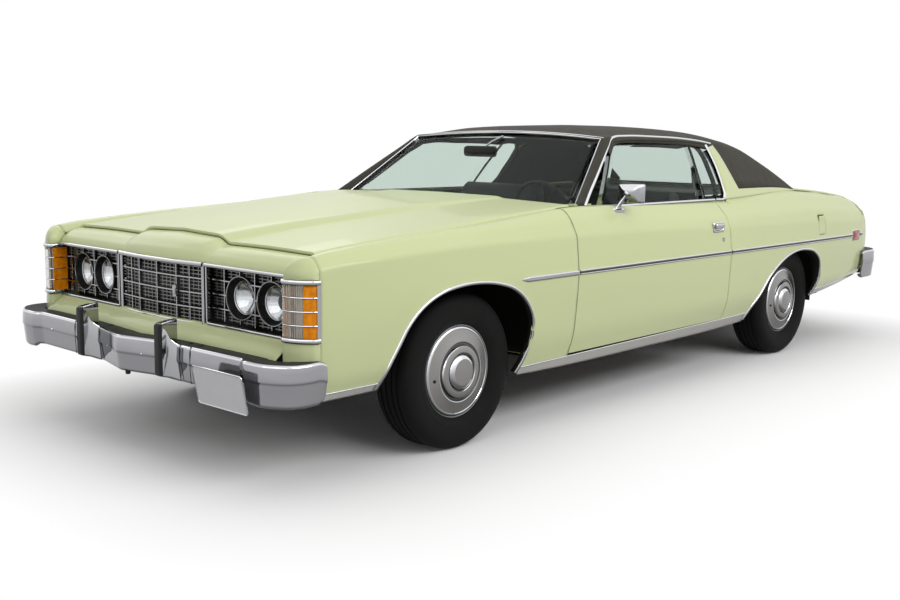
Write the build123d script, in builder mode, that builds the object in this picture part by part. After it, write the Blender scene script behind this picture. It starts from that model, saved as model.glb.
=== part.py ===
"""Full-size two-door hardtop: frame, body panels, cabin, running gear.

Millimetres. X is the car's left, Y runs rearwards, Z is up from the floor it stands on.
Lengthwise places are stations, measured rearwards from the front axle, as on a body drawing.
"""
import os
from math import cos, radians, sin

from build123d import *

# --- driving dimensions -------------------------------------------------------------------
wheelbase = 3073
front_overhang = 1110
rear_overhang = 1407
track = 1630
tyre_radius = 343
tyre_width = 216
bead_radius = 190.5
rim_width = 156

panel_gap = 6.7        # shutline between a moving panel and its neighbour
fit = 0.3              # clearance of a seat or a pin in its bore
skin = 14              # body panel with its inner flanges
pillar = 46            # roof shell and pillars
glass = 5
door_inner_x = 856
door_front = 728
door_rear = 2187
door_rear_inner = 2172
hinge_setback = 60     # door hinge axis behind the door's front edge
hinge_x = 990
hinge_heights = (600, 716)
hinge_strap = 24
hinge_pin = 6

steer_axis_x = 700
steer_lock = 33
hood_front = -757
hood_rear = 852
hood_edge_x = 826
hood_thickness = 30
cowl_front = hood_rear + 24
hood_hinge = (836, 995)  # station and height of the hood's hinge pins
cowl_rear = 940
cowl_top = 1000
cowl_side_x = 836
firewall_rear = 755
lid_front = 3412
lid_rear = 4240
lid_edge_x = 779
lid_hinge = (3430, 1008.5)
lid_thickness = 30
lid_pin = 4
lid_swing = 22         # room ahead of the lid, whose front edge dips as it opens
belt_z = 1022          # underside of the front pillars and the side rails' openings

sill_top = 322
engine_bottom = 335
link_front = 2410
rail_height = 110
rail_width = 90
bracket_x = 415         # bumper brackets and the frame rails' ends
rail_front, rail_rear = -840, 4190
floor_z = 305
floor_thickness = 12
trunk_floor_z = 575
tunnel_x, tunnel_top, tunnel_sheet = 160, 440, 12
shaft_radius = 36
shaft_front_z = 385
transmission_rear = 592

front_axle_y = front_overhang - (front_overhang + wheelbase + rear_overhang) / 2


def st(station):
    """Model Y of a station measured from the front axle."""
    return front_axle_y + station


def across(station):
    """Section plane square to the car's length, with sketch X, Y as model X, Z."""
    return Plane(origin=(0, st(station), 0), x_dir=(1, 0, 0), z_dir=(0, -1, 0))


side_view = Plane.YZ    # sketch X, Y are model Y, Z


def block(low, high):
    """A box between two corners given as (x, station, z)."""
    with BuildPart() as made:
        with BuildSketch(Plane.XY.offset(low[2])):
            with Locations(((low[0] + high[0]) / 2, st((low[1] + high[1]) / 2))):
                Rectangle(high[0] - low[0], high[1] - low[1])
        extrude(amount=high[2] - low[2])
    return made.part


def side_prism(points, x_low, x_high):
    """A side-view outline of (station, z) points carried across the car."""
    with BuildPart() as made:
        with BuildSketch(side_view.offset(x_low)):
            with BuildLine():
                Polyline(*[(st(s), z) for s, z in points], close=True)
            make_face()
        extrude(amount=x_high - x_low)
    return made.part


def plan_prism(points, z_low, z_high):
    """A plan outline of (x, station) points carried upwards."""
    with BuildPart() as made:
        with BuildSketch(Plane.XY.offset(z_low)):
            with BuildLine():
                Polyline(*[(x, st(s)) for x, s in points], close=True)
            make_face()
        extrude(amount=z_high - z_low)
    return made.part


def section_loft(sections, ruled=False):
    """A solid through closed outlines: a list of (station, [(x, z), ...])."""
    with BuildPart() as made:
        for station, points in sections:
            with BuildSketch(across(station)):
                with BuildLine():
                    Polyline(*points, close=True)
                make_face()
        loft(ruled=ruled)
    return made.part


def rod(start, end, radius):
    """A round bar between two points given as (x, station, z)."""
    a = Vector(start[0], st(start[1]), start[2])
    b = Vector(end[0], st(end[1]), end[2])
    with BuildPart() as made:
        with BuildSketch(Plane(origin=a, z_dir=b - a)):
            Circle(radius)
        extrude(amount=(b - a).length)
    return made.part


# --- body side ----------------------------------------------------------------------------
# Each section runs from the sill up: sill bottom, sill top, lower crease, lower flank, widest,
# upper crease, crest, shoulder, top edge.
flank_sections = {
    -852: [(925, 352), (945, 392), (958, 436), (970, 600), (972, 700), (970, 860), (938, 902),
           (900, 905), (836, 889)],
    -600: [(925, 350), (948, 390), (968, 436), (985, 600), (986, 705), (979, 875), (934, 925),
           (898, 929), (836, 908)],
    -300: [(925, 345), (950, 385), (980, 436), (994, 605), (998, 712), (984, 886), (936, 944),
           (895, 949), (836, 931)],
    0: [(925, 300), (950, 345), (983, 436), (998, 610), (1002, 715), (986, 893), (938, 957),
        (892, 964), (836, 953)],
    400: [(926, 276), (950, 325), (984, 432), (998, 612), (1004, 715), (986, 892), (944, 964),
          (894, 988), (836, 983)],
    725: [(927, 268), (950, 322), (983, 428), (998, 612), (1004, 715), (985, 889), (948, 964),
          (898, 1017), (836, 1008)],
    1400: [(927, 266), (951, 320), (985, 426), (999, 615), (1004, 715), (987, 882), (957, 938),
           (890, 1008), (836, 1008)],
    2190: [(925, 268), (951, 322), (990, 424), (1000, 615), (1004, 715), (986, 852), (966, 904),
           (882, 996), (836, 1003)],
    2700: [(925, 285), (951, 335), (988, 424), (1000, 615), (1003, 715), (988, 842), (963, 907),
           (868, 1004), (786, 1016)],
    3300: [(925, 330), (950, 362), (982, 430), (996, 600), (999, 705), (984, 832), (955, 908),
           (852, 1008), (786, 1018)],
    3900: [(918, 385), (938, 412), (965, 445), (982, 590), (986, 700), (974, 805), (945, 873),
           (862, 958), (786, 976)],
    4190: [(905, 415), (925, 438), (948, 470), (962, 590), (964, 700), (952, 800), (925, 850),
           (868, 905), (786, 940)],
}


def flank_outline(station):
    """The outer section at any station, straight between its two neighbours."""
    known = sorted(flank_sections)
    after = next((s for s in known if s >= station), known[-1])
    before = max((s for s in known if s <= station), default=known[0])
    if after == before:
        return flank_sections[before]
    share = (station - before) / (after - before)
    return [(a[0] + (b[0] - a[0]) * share, a[1] + (b[1] - a[1]) * share)
            for a, b in zip(flank_sections[before], flank_sections[after])]


def stations_between(first, last):
    """The ends and every known section between them."""
    return [first, *[s for s in sorted(flank_sections) if first + 40 < s < last - 40], last]


def inner_line(points, thickness):
    """The line that lies thickness inside an outline which runs upwards and inwards."""
    normals = []
    for (x0, z0), (x1, z1) in zip(points, points[1:]):
        run = Vector(x1 - x0, z1 - z0).normalized()
        normals.append(Vector(-run.Y, run.X))
    moved = []
    for i, (x, z) in enumerate(points):
        before = normals[max(i - 1, 0)]
        after = normals[min(i, len(normals) - 1)]
        middle = (before + after).normalized()
        reach = thickness / middle.dot(before)
        moved.append((x + middle.X * reach, z + middle.Y * reach))
    return moved


def flank_skin(first, last):
    """The left side's panel skin between two stations."""
    return section_loft([
        (s, [*flank_outline(s), *reversed(inner_line(flank_outline(s), skin))])
        for s in stations_between(first, last)])


def flank_wall(first, last, inner_x):
    """The left side's whole wall between two stations, as far in as inner_x."""
    sections = []
    for s in stations_between(first, last):
        outer = flank_outline(s)[:-1]
        sections.append((s, [*outer, (inner_x, outer[-1][1]), (inner_x, outer[0][1])]))
    return section_loft(sections)


def arch_opening(points, x_low, x_high):
    """A wheel opening in side view, curved through its points and open below."""
    with BuildPart() as made:
        with BuildSketch(side_view.offset(x_low)):
            with BuildLine():
                Spline(*[(st(s), z) for s, z in points])
                Line((st(points[-1][0]), points[-1][1]), (st(points[0][0]), points[0][1]))
            make_face()
        extrude(amount=x_high - x_low)
    return made.part


front_arch = arch_opening([(-572, 200), (-512, 425), (-415, 598), (-216, 716), (20, 737), (264, 682),
                           (403, 515), (362, 345), (345, 200)], 640, 1100)
rear_arch = arch_opening([(2440, 200), (2560, 400), (2774, 581), (2950, 652), (3100, 670), (3293, 630),
                          (3408, 500), (3396, 345), (3388, 200)], 640, 1100)

# --- front fenders ------------------------------------------------------------------------
fender_rear = door_front - panel_gap
apron_x = 497
apron_top = 800
apron_low = 510
apron_rear = 590
apron_sheet = 8
with BuildPart() as fender_left:
    add(flank_skin(-850, fender_rear))
    add(front_arch, mode=Mode.SUBTRACT)
    add(block((apron_x, -640, apron_top), (972, apron_rear, apron_top + apron_sheet)))
    add(block((apron_x, -640, apron_low), (apron_x + apron_sheet, apron_rear, apron_top)))
fender_left.part.label = "fender_left"
with BuildPart() as fender_right:
    mirror(fender_left.part, about=Plane.YZ)
fender_right.part.label = "fender_right"

# --- side glass ---------------------------------------------------------------------------
# Front view of the cabin above the belt: outer face from the door's top to the roof's middle.
cabin_face = [(905, 960), (885, 1000), (860, 1052), (800, 1152), (737, 1250), (682, 1330)]
roof_crown = [(640, 1364), (520, 1384), (300, 1399), (0, 1405)]


def glass_band(inset, thickness, z_top):
    """Side glass before it is trimmed: the cabin's curved side, inset from its outer face."""
    face = [p for p in cabin_face if p[1] < z_top]
    outer = inner_line(face, inset)
    inner = inner_line(face, inset + thickness)
    with BuildPart() as made:
        with BuildSketch(across(2500)):
            with BuildLine():
                Polyline(*outer, *reversed(inner), close=True)
            make_face()
        extrude(amount=1600)
    return made.part


glass_inset = 10
glass_top = 1322
window_front = [(985, 965), (1407, glass_top)]     # the glass edge along the front pillar
window_split = [(2180, 965), (2228, glass_top)]    # where the door's glass ends
window_back = [(2322, 965), (2330, 1010), (2398, glass_top)]
glass_gap = 12


def trimmed_glass(thickness, outline):
    """The part of the side glass inside a side-view outline."""
    with BuildPart() as made:
        add(glass_band(glass_inset - (thickness - glass) / 2, thickness, glass_top + 60))
        add(side_prism(outline, 600, 950), mode=Mode.INTERSECT)
    return made.part


door_window = [*window_front, *reversed(window_split)]
with BuildPart() as door_glass_left:
    add(trimmed_glass(glass, door_window))
door_glass_left.part.label = "door_glass_left"
with BuildPart() as door_glass_right:
    mirror(door_glass_left.part, about=Plane.YZ)
door_glass_right.part.label = "door_glass_right"

quarter_window = [(s + glass_gap, z) for s, z in window_split] + list(reversed(window_back))
with BuildPart() as quarter_glass:
    add(trimmed_glass(glass, quarter_window))
    mirror(about=Plane.YZ)
quarter_glass.part.label = "quarter_glass"

# --- doors --------------------------------------------------------------------------------
slot = glass + 2 * fit
hinge_station = door_front + hinge_setback
pin_reach = 14
with BuildPart() as door_left:
    add(flank_wall(door_front, door_rear, door_inner_x))
    # The rear end leans forwards on its inner side, so that it swings clear of the lock post.
    add(plan_prism([(door_inner_x - 5, door_rear_inner), (door_inner_x - 5, door_rear + 40),
                    (1010, door_rear + 40), (1010, door_rear)], 200, 1100), mode=Mode.SUBTRACT)
    add(trimmed_glass(slot, door_window), mode=Mode.SUBTRACT)
    add(block((700, 600, 200), (1100, 2300, sill_top + panel_gap)), mode=Mode.SUBTRACT)
    # A pocket in the inner front corner lets each hinge strap swing; the pin runs on above and below it.
    for z in hinge_heights:
        add(plan_prism([(700, hinge_station + 11), (hinge_x + hinge_pin + 1, hinge_station + 11),
                        (hinge_x + hinge_pin + 1, hinge_station - 6), (hinge_x - 19, door_front - 1),
                        (700, door_front - 1)], z - 5, z + hinge_strap + 5), mode=Mode.SUBTRACT)
        add(rod((hinge_x, hinge_station, z - pin_reach - fit), (hinge_x, hinge_station, z + hinge_strap + pin_reach + fit),
                hinge_pin + fit), mode=Mode.SUBTRACT)
door_left.part.label = "door_left"
with BuildPart() as door_right:
    mirror(door_left.part, about=Plane.YZ)
door_right.part.label = "door_right"

# Door handle and outside mirror: a chrome pull on each door, a mirror on the driver's door.
handle_station = 2055
handle_z = 861
handle_face_x = 990
mirror_station = 1168
mirror_base_z = 1006
with BuildPart() as door_handle:
    add(block((handle_face_x + 4, handle_station - 85, handle_z - 15),
              (handle_face_x + 26, handle_station + 85, handle_z + 15)))
    add(block((handle_face_x - 12, handle_station - 80, handle_z - 12),
              (handle_face_x + 4, handle_station - 40, handle_z + 12)))
    add(block((handle_face_x - 12, handle_station + 40, handle_z - 12),
              (handle_face_x + 4, handle_station + 80, handle_z + 12)))
with BuildPart() as handle_seated:
    add(door_handle.part)
    add(flank_wall(door_front, door_rear, door_inner_x), mode=Mode.SUBTRACT)
with BuildPart() as door_hardware_left:
    add(handle_seated.part)
    add(rod((902, mirror_station, 970), (955, mirror_station + 22, 1062), 11))
    add(block((900, mirror_station + 8, 1040), (1030, mirror_station + 60, 1110)))
    add(flank_wall(door_front, door_rear, door_inner_x), mode=Mode.SUBTRACT)
door_hardware_left.part.label = "door_hardware_left"
with BuildPart() as door_hardware_right:
    mirror(handle_seated.part, about=Plane.YZ)
door_hardware_right.part.label = "door_hardware_right"

# --- quarter panels and fuel door ---------------------------------------------------------
quarter_front = door_rear + panel_gap
quarter_rear = 4190
fuel_front, fuel_rear, fuel_low, fuel_high = 3364, 3465, 739, 868
fuel_gap = 8
fuel_hinge_low = Vector(990.6, st(fuel_front + fuel_gap + 30), 737)
fuel_hinge_high = Vector(964.5, st(fuel_front + fuel_gap + 30), 873)
fuel_pin = 2.5
marker_front, marker_rear, marker_low, marker_high = 3920, 4055, 670, 741
fuel_window = block((900, fuel_front, fuel_low), (1020, fuel_rear, fuel_high))
fuel_cutter = block((900, fuel_front + fuel_gap, fuel_low + fuel_gap),
                    (1020, fuel_rear - fuel_gap, fuel_high - fuel_gap))
marker_hole = block((960, marker_front - fit, marker_low - fit), (1020, marker_rear + fit, marker_high + fit))
quarter_skin = flank_skin(quarter_front, quarter_rear)
with BuildPart() as quarter_right_half:
    add(quarter_skin)
    add(rear_arch, mode=Mode.SUBTRACT)
    add(marker_hole, mode=Mode.SUBTRACT)
    add(trimmed_glass(slot, quarter_window), mode=Mode.SUBTRACT)
    add(rod((700, *lid_hinge), (lid_edge_x + 17 + fit, *lid_hinge), lid_pin + fit), mode=Mode.SUBTRACT)
    add(block((860, 2204, floor_z + floor_thickness), (975, 2262, 905)))
with BuildPart() as quarter_right:
    mirror(quarter_right_half.part, about=Plane.YZ)
quarter_right.part.label = "quarter_right"
with BuildPart() as quarter_left:
    add(quarter_right_half.part)
    add(fuel_window, mode=Mode.SUBTRACT)
    with BuildSketch(Plane(origin=fuel_hinge_low, z_dir=fuel_hinge_high - fuel_hinge_low)):
        Circle(fuel_pin + fit)
    extrude(amount=(fuel_hinge_high - fuel_hinge_low).length, mode=Mode.SUBTRACT)
quarter_left.part.label = "quarter_left"
with BuildPart() as fuel_door:
    add(quarter_skin)
    add(fuel_cutter, mode=Mode.INTERSECT)
    with BuildSketch(Plane(origin=fuel_hinge_low, z_dir=fuel_hinge_high - fuel_hinge_low).offset(fit)):
        Circle(fuel_pin)
    extrude(amount=(fuel_hinge_high - fuel_hinge_low).length - 2 * fit)
fuel_door.part.label = "fuel_door"

# --- roof with its pillars ----------------------------------------------------------------
screen_lean = 37.5
screen_foot = (942, 1009)
screen_head = (1402, 1362)
back_head = (2850, 1338)
back_foot = (3345, 1034)


def cabin_mass(inset):
    """The closed form of the cabin above the belt, moved inwards all round by inset."""
    lean = radians(screen_lean)
    top = [(1402, 1362), (1560, 1390), (1800, 1405), (2300, 1402), (2690, 1368), (2850, 1330),
           (3020, 1247), (3251, 1145), (3415, 1018)]
    profile = [(882, 963), *top, (3440, 990), (3440, 940), (882, 940)]
    inside = inner_line(profile[:11], -inset) if inset else profile[:11]
    if inset:
        inside[0] = (882 + inset / sin(lean), 963)
        profile = [*inside, (3440 - 2 * inset, 940), (882 + inset / sin(lean), 940)]
    face = [*cabin_face, *roof_crown]
    half = inner_line(face, inset) if inset else face
    half[-1] = (0, half[-1][1])
    whole = [*half, *[(-x, z) for x, z in reversed(half[:-1])]]
    with BuildPart() as made:
        with BuildSketch(across(3460)):
            with BuildLine():
                Polyline(*whole, close=True)
            make_face()
        extrude(amount=2700)
        add(side_prism(profile, -950, 950), mode=Mode.INTERSECT)
        add(plan_prism([(-900, 800), (900, 800), (900, 2380), (775 - inset / 2, 3440),
                        (-775 + inset / 2, 3440), (-900, 2380)], 900, 1500), mode=Mode.INTERSECT)
    return made.part


screen_plane = Plane(origin=(0, st(1172), 1185.5), x_dir=(1, 0, 0),
                     z_dir=(0, -sin(radians(screen_lean)), cos(radians(screen_lean))))
screen_outline = [(-812, -272), (812, -272), (640, 258), (-640, 258)]
back_run = Vector(0, back_head[0] - back_foot[0], back_head[1] - back_foot[1]).normalized()
back_plane = Plane(origin=(0, st(3110), 1198), x_dir=(-1, 0, 0), z_dir=(0, back_run.Z, -back_run.Y))
back_outline = [(-625, -190), (625, -190), (565, 205), (-565, 205)]


def pane(plane, outline, thickness, sunk):
    """A flat pane: its outline on a leaning plane, its outer face sunk below that plane."""
    with BuildPart() as made:
        with BuildSketch(plane.offset(-sunk - thickness)):
            with BuildLine():
                Polyline(*outline, close=True)
            make_face()
        extrude(amount=thickness)
    return made.part


pane_sunk = 8
with BuildPart() as windshield:
    add(pane(screen_plane, screen_outline, glass + 1, pane_sunk))
windshield.part.label = "windshield"
with BuildPart() as backlight:
    add(pane(back_plane, back_outline, glass, pane_sunk))
backlight.part.label = "backlight"

side_opening = [(990, 960), (1000, belt_z - 8), (1012, belt_z - 8), (1408, glass_top + 10), (2404, glass_top + 10),
                (2336, 1005), (2330, 960)]
quarter_wall = flank_wall(quarter_front, quarter_rear, 780)
with BuildPart() as roof:
    add(cabin_mass(0))
    add(cabin_mass(pillar), mode=Mode.SUBTRACT)
    add(side_prism(side_opening, -950, 950), mode=Mode.SUBTRACT)
    add(pane(screen_plane, screen_outline, 160, -80), mode=Mode.SUBTRACT)
    add(pane(back_plane, back_outline, 160, -80), mode=Mode.SUBTRACT)
    add(block((-950, 800, 900), (950, 2200, belt_z)), mode=Mode.SUBTRACT)
    add(block((-950, 2190, 900), (950, 2342, belt_z - 17)), mode=Mode.SUBTRACT)
    add(block((-788, 2190, 900), (788, 3500, 1022)), mode=Mode.SUBTRACT)
    add(quarter_wall, mode=Mode.SUBTRACT)
    add(mirror(quarter_wall, about=Plane.YZ, mode=Mode.PRIVATE), mode=Mode.SUBTRACT)
    add(block((-950, lid_front - lid_swing - 12, 900), (950, 3500, 1100)), mode=Mode.SUBTRACT)
    add(quarter_left.part, mode=Mode.SUBTRACT)
    add(quarter_right.part, mode=Mode.SUBTRACT)
roof.part.label = "roof"

# --- hood, trunk lid and the fixed panels between the sides --------------------------------
# Hood half sections: edge, flat, valley beside the dome, dome corner, middle.
hood_sections = {
    -757: [(800, 893), (552, 897), (306, 893), (256, 922), (0, 930)],
    -400: [(820, 924), (570, 928), (330, 930), (285, 957), (0, 966)],
    0: [(hood_edge_x, 951), (585, 956), (352, 962), (318, 984), (0, 993)],
    400: [(hood_edge_x, 982), (600, 988), (388, 995), (356, 1010), (0, 1018)],
    852: [(hood_edge_x, 1010), (620, 1015), (425, 1020), (395, 1029), (0, 1034)],
}


def crowned_lid(sections, thickness):
    """A lid through half sections, mirrored, with an even thickness below them."""
    outlines = []
    for station, half in sections.items():
        top = [*half, *[(-x, z) for x, z in reversed(half[:-1])]]
        below = [(x, z - thickness) for x, z in reversed(top)]
        outlines.append((station, [*top, *below]))
    return section_loft(outlines)


with BuildPart() as hood:
    add(crowned_lid(hood_sections, hood_thickness))
    for side in (-1, 1):
        add(rod((side * (hood_edge_x - 10), *hood_hinge), (side * cowl_side_x, *hood_hinge), hinge_pin - 1))
hood.part.label = "hood"

lid_sections = {
    lid_front: [(lid_edge_x, 1016), (500, 1026), (0, 1032)],
    3700: [(lid_edge_x, 995), (500, 1010), (0, 1018)],
    4000: [(lid_edge_x, 965), (500, 982), (0, 992)],
    lid_rear: [(lid_edge_x, 932), (500, 946), (0, 955)],
}
lid_skirt = 72
lid_rear_edge_z = lid_sections[lid_rear][0][1]
lid_low_z = lid_rear_edge_z - lid_skirt
with BuildPart() as trunk_lid:
    add(crowned_lid(lid_sections, lid_thickness))
    add(block((-lid_edge_x, lid_rear - 25, lid_low_z), (lid_edge_x, lid_rear, lid_rear_edge_z - 4)))
    for side in (-1, 1):
        add(rod((side * (lid_edge_x - 10), *lid_hinge), (side * (lid_edge_x + 17), *lid_hinge), lid_pin))
trunk_lid.part.label = "trunk_lid"

with BuildPart() as cowl:
    for side in (-1, 1):
        low, high = sorted((side * (cowl_side_x - 12), side * cowl_side_x))
        add(block((low, 700, floor_z + floor_thickness), (high, cowl_rear, 970)))
        low, high = sorted((side * (cowl_side_x - 2), side * hinge_x))
        for z in hinge_heights:
            add(block((low, hinge_station - hinge_pin, z), (high, hinge_station + hinge_pin, z + hinge_strap)))
            add(rod((side * hinge_x, hinge_station, z - pin_reach),
                    (side * hinge_x, hinge_station, z + hinge_strap + pin_reach), hinge_pin))
        # An ear beside the hood's rear corner holds the hood's hinge pin.
        low, high = sorted((side * (hood_edge_x + 5), side * cowl_side_x))
        add(block((low, hood_hinge[0] - 12, 960), (high, cowl_rear, hood_hinge[1] + 8)))
    add(block((-834, cowl_front, cowl_top - 18), (834, cowl_rear, cowl_top)))
    add(block((-834, firewall_rear - 15, 600), (834, firewall_rear, cowl_top - 80)))
    add(block((-834, 740, cowl_top - 80), (834, cowl_rear, cowl_top - 68)))
    add(block((-834, cowl_rear - 12, cowl_top - 80), (834, cowl_rear, cowl_top)))
    add(block((-480, 600, floor_z + floor_thickness), (480, 615, 612)))
    add(block((-834, 600, 600), (834, firewall_rear, 612)))
    add(block((-834, 600, floor_z + floor_thickness), (834, 612, 612)))
    for side in (-1, 1):
        low, high = sorted((side * 780, side * 838))
        add(block((low, 905, cowl_top - 60), (high, 1040, belt_z)))
        low, high = sorted((side * 826, side * 910))
        add(block((low, 612, floor_z + floor_thickness), (high, 715, 930)))
    add(block((tunnel_sheet - tunnel_x, 590, floor_z), (tunnel_x - tunnel_sheet, 625, tunnel_top - tunnel_sheet)),
        mode=Mode.SUBTRACT)
    add(pane(screen_plane, screen_outline, 160, -80), mode=Mode.SUBTRACT)
    add(rod((-900, *hood_hinge), (900, *hood_hinge), hinge_pin - 1 + fit), mode=Mode.SUBTRACT)
cowl.part.label = "cowl"

with BuildPart() as rear_deck:
    add(block((-780, 2640, 985), (780, 3330, 997)))
    add(block((-795, 3330, 985), (795, lid_front - lid_swing, 1016)))
    add(quarter_left.part, mode=Mode.SUBTRACT)
    add(quarter_right.part, mode=Mode.SUBTRACT)
rear_deck.part.label = "rear_deck"

tail_plan = [(955, 4190), (930, 4205), (700, 4262), (0, 4288)]
tail_outer = [*tail_plan, *[(-x, s) for x, s in reversed(tail_plan[:-1])]]
tail_low = 590
rear_plate_z = 690
plate_width, plate_height, plate_sheet = 305, 152, 3
plate_bolts = 177.8
plate_bolt_z = rear_plate_z + 50
plate_bolt_radius = 3.5
tail_high = lid_low_z - panel_gap
with BuildPart() as tail_panel:
    add(plan_prism([*tail_outer, *[(x * 0.985, s - 18) for x, s in reversed(tail_outer)]], tail_low, tail_high))
    add(block((-880, 4160, 540), (880, 4180, tail_high)))
    add(block((-880, 4160, tail_low), (880, 4262, tail_low + 12)))
    add(quarter_left.part, mode=Mode.SUBTRACT)
    add(quarter_right.part, mode=Mode.SUBTRACT)
    for x in (-plate_bolts / 2, plate_bolts / 2):
        add(rod((x, 4150, plate_bolt_z), (x, 4300, plate_bolt_z), plate_bolt_radius), mode=Mode.SUBTRACT)
tail_panel.part.label = "tail_panel"

# --- nose ---------------------------------------------------------------------------------
grille_low, grille_high = 580, 824
nose_line = [(836, -876), (300, -884), (136, -902), (0, -906)]
nose_outer = [*nose_line, *[(-x, s) for x, s in reversed(nose_line[:-1])]]
lamp_plan = [(838, -852), (840, -915), (852, -929), (890, -924), (930, -906), (966, -873), (972, -852)]
lamp_low, lamp_high = 588, 819
with BuildPart() as header_panel:
    add(section_loft([
        (-885, [(836, grille_high), (836, 845), (-836, 845), (-836, grille_high)]),
        (-855, [(836, grille_high), (836, 876), (-836, 876), (-836, grille_high)]),
        (hood_front - panel_gap, [(836, 850), (836, 892), (-836, 892), (-836, 850)]),
    ], ruled=True))
    add(section_loft([
        (-904, [(250, grille_high), (242, 856), (-242, 856), (-250, grille_high)]),
        (-860, [(280, grille_high), (250, 900), (-250, 900), (-280, grille_high)]),
        (hood_front - panel_gap, [(300, 850), (256, 924), (-256, 924), (-300, 850)]),
    ], ruled=True))
    for side in (-1, 1):
        outline = [(side * x, s) for x, s in [*lamp_plan, (900, -852)]]
        add(plan_prism(outline, lamp_high, 868))
        add(plan_prism(outline, 530, lamp_low))
        low, high = sorted((side * 836, side * 930))
        add(block((low, -880, 866), (high, -852, 896)))
    add(block((-842, -876, 530), (842, -838, grille_low)))
    add(block((-836, -840, 330), (836, -830, grille_high + 30)))
    add(block((-365, -830, 330), (365, -790, 700)))
    for side in (-1, 1):
        x = side * bracket_x
        add(block((x - 46, -841, 364), (x + 46, -829, 476)), mode=Mode.SUBTRACT)
header_panel.part.label = "header_panel"

with BuildPart() as front_valance:
    add(block((-880, -1010, 345), (880, -840, 357)))
front_valance.part.label = "front_valance"

grille_bar = 5
cells_wide = 4
rows = 4
with BuildPart() as grilles:
    frame_plan = [*nose_outer, *[(x, s + 16) for x, s in reversed(nose_outer)]]
    centre = [(x, s) for x, s in frame_plan if abs(x) < 320]
    add(plan_prism(centre, grille_high - 14, grille_high - fit))
    add(plan_prism(centre, grille_low + fit, grille_low + 14))
    row_pitch = (grille_high - grille_low - 15) / rows
    for row in range(1, rows):
        z = grille_low + 7 + row * row_pitch
        add(plan_prism(centre, z - grille_bar / 2, z + grille_bar / 2))
    for x in (-291, -136, 0, 136, 291):
        front = -900 if abs(x) < 200 else -882
        add(block((x - 6, front, grille_low + fit), (x + 6, front + 16, grille_high - fit)))
    add(block((-300, -866, grille_low + fit), (300, -860, grille_high - fit)))
    for side in (-1, 1):
        low, high = sorted((side * 320, side * 832))
        add(block((low, -866, grille_high - 10), (high, -852, grille_high - fit)))
        add(block((low, -866, grille_low + 4), (high, -852, grille_low + 14)))
        add(block((low, -852, grille_low + 4), (high, -845, grille_high - fit)))
        for x, z in ((500, 703), (687, 701)):
            with Locations(Plane(origin=(side * x, st(-845), z), x_dir=(1, 0, 0), z_dir=(0, -1, 0))):
                Cylinder(89, 28, align=(Align.CENTER, Align.CENTER, Align.MIN))
    for side in (-1, 1):
        for x, z in ((500, 703), (687, 701)):
            with Locations(Plane(origin=(side * x, st(-839), z), x_dir=(1, 0, 0), z_dir=(0, -1, 0))):
                Cylinder(78, 60, align=(Align.CENTER, Align.CENTER, Align.MIN), mode=Mode.SUBTRACT)
grilles.part.label = "grilles"

with BuildPart() as headlamps:
    for side in (-1, 1):
        for x, z in ((500, 703), (687, 701)):
            with Locations(Plane(origin=(side * x, st(-840), z), x_dir=(1, 0, 0), z_dir=(0, -1, 0))):
                Cylinder(78 - fit, 14, align=(Align.CENTER, Align.CENTER, Align.MIN))
headlamps.part.label = "headlamps"

with BuildPart() as turn_lamps:
    add(plan_prism(lamp_plan, lamp_low, lamp_high))
    mirror(about=Plane.YZ)
turn_lamps.part.label = "turn_lamps"



def tail_face(x):
    """The station of the tail panel's outer face at a distance from the middle."""
    for (x_far, s_far), (x_near, s_near) in zip(tail_plan, tail_plan[1:]):
        if x >= x_near:
            return s_near + (s_far - s_near) * (x - x_near) / (x_far - x_near)
    return tail_plan[-1][1]


tail_lamp_stops = (560, 700, 900)
tail_lamp_depth = 18
with BuildPart() as tail_lamps:
    for side in (-1, 1):
        seat = [(side * x, tail_face(x)) for x in tail_lamp_stops]
        add(plan_prism([*seat, *[(x, s + tail_lamp_depth) for x, s in reversed(seat)]], 640, 770))
        low, high = sorted((side * 962, side * 990))
        add(block((low, marker_front, marker_low), (high, marker_rear, marker_high)))
tail_lamps.part.label = "tail_lamps"

# --- bumpers ------------------------------------------------------------------------------
bumper_low, bumper_high, bumper_wall = 369, 526, 42
front_bumper_line = [(990, -842), (992, -940), (976, -998), (892, -1044), (360, -1048), (150, -1044),
                     (92, -1096), (0, -1099)]
rear_bumper_line = [(990, 4060), (990, 4330), (960, 4400), (900, 4436), (400, 4470), (0, 4480)]
rear_bumper_low, rear_bumper_high = 393, 590
guard_x, guard_width = 297, 46
bumper_end_x = 975


inward_side = {False: Side.RIGHT, True: Side.LEFT}


def bumper_bar(half_line, low, high, wall):
    """A wrap-round bar: the plan line from one end to the other, with an even wall inside it."""
    line = [*half_line, *[(-x, s) for x, s in reversed(half_line[:-1])]]
    with BuildPart() as made:
        with BuildSketch(Plane.XY.offset(low)):
            with BuildLine() as path:
                Polyline(*[(x, st(s)) for x, s in line])
                offset(amount=wall, side=inward_side[half_line[-1][1] > 0], closed=True)
            make_face()
        extrude(amount=high - low)
    return made.part


with BuildPart() as front_bumper:
    add(bumper_bar(front_bumper_line, bumper_low, bumper_high, bumper_wall))
    add(block((-bumper_end_x, -858, bumper_low), (bumper_end_x, rail_front - 1, bumper_high)), mode=Mode.SUBTRACT)
    for side in (-1, 1):
        x = side * guard_x
        add(block((x - guard_width / 2, -front_overhang, 398), (x + guard_width / 2, -1020, 597)))
        x = side * bracket_x
        add(block((x - 30, -1010, 400), (x + 30, rail_front, 440)))
front_bumper.part.label = "front_bumper"

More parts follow.
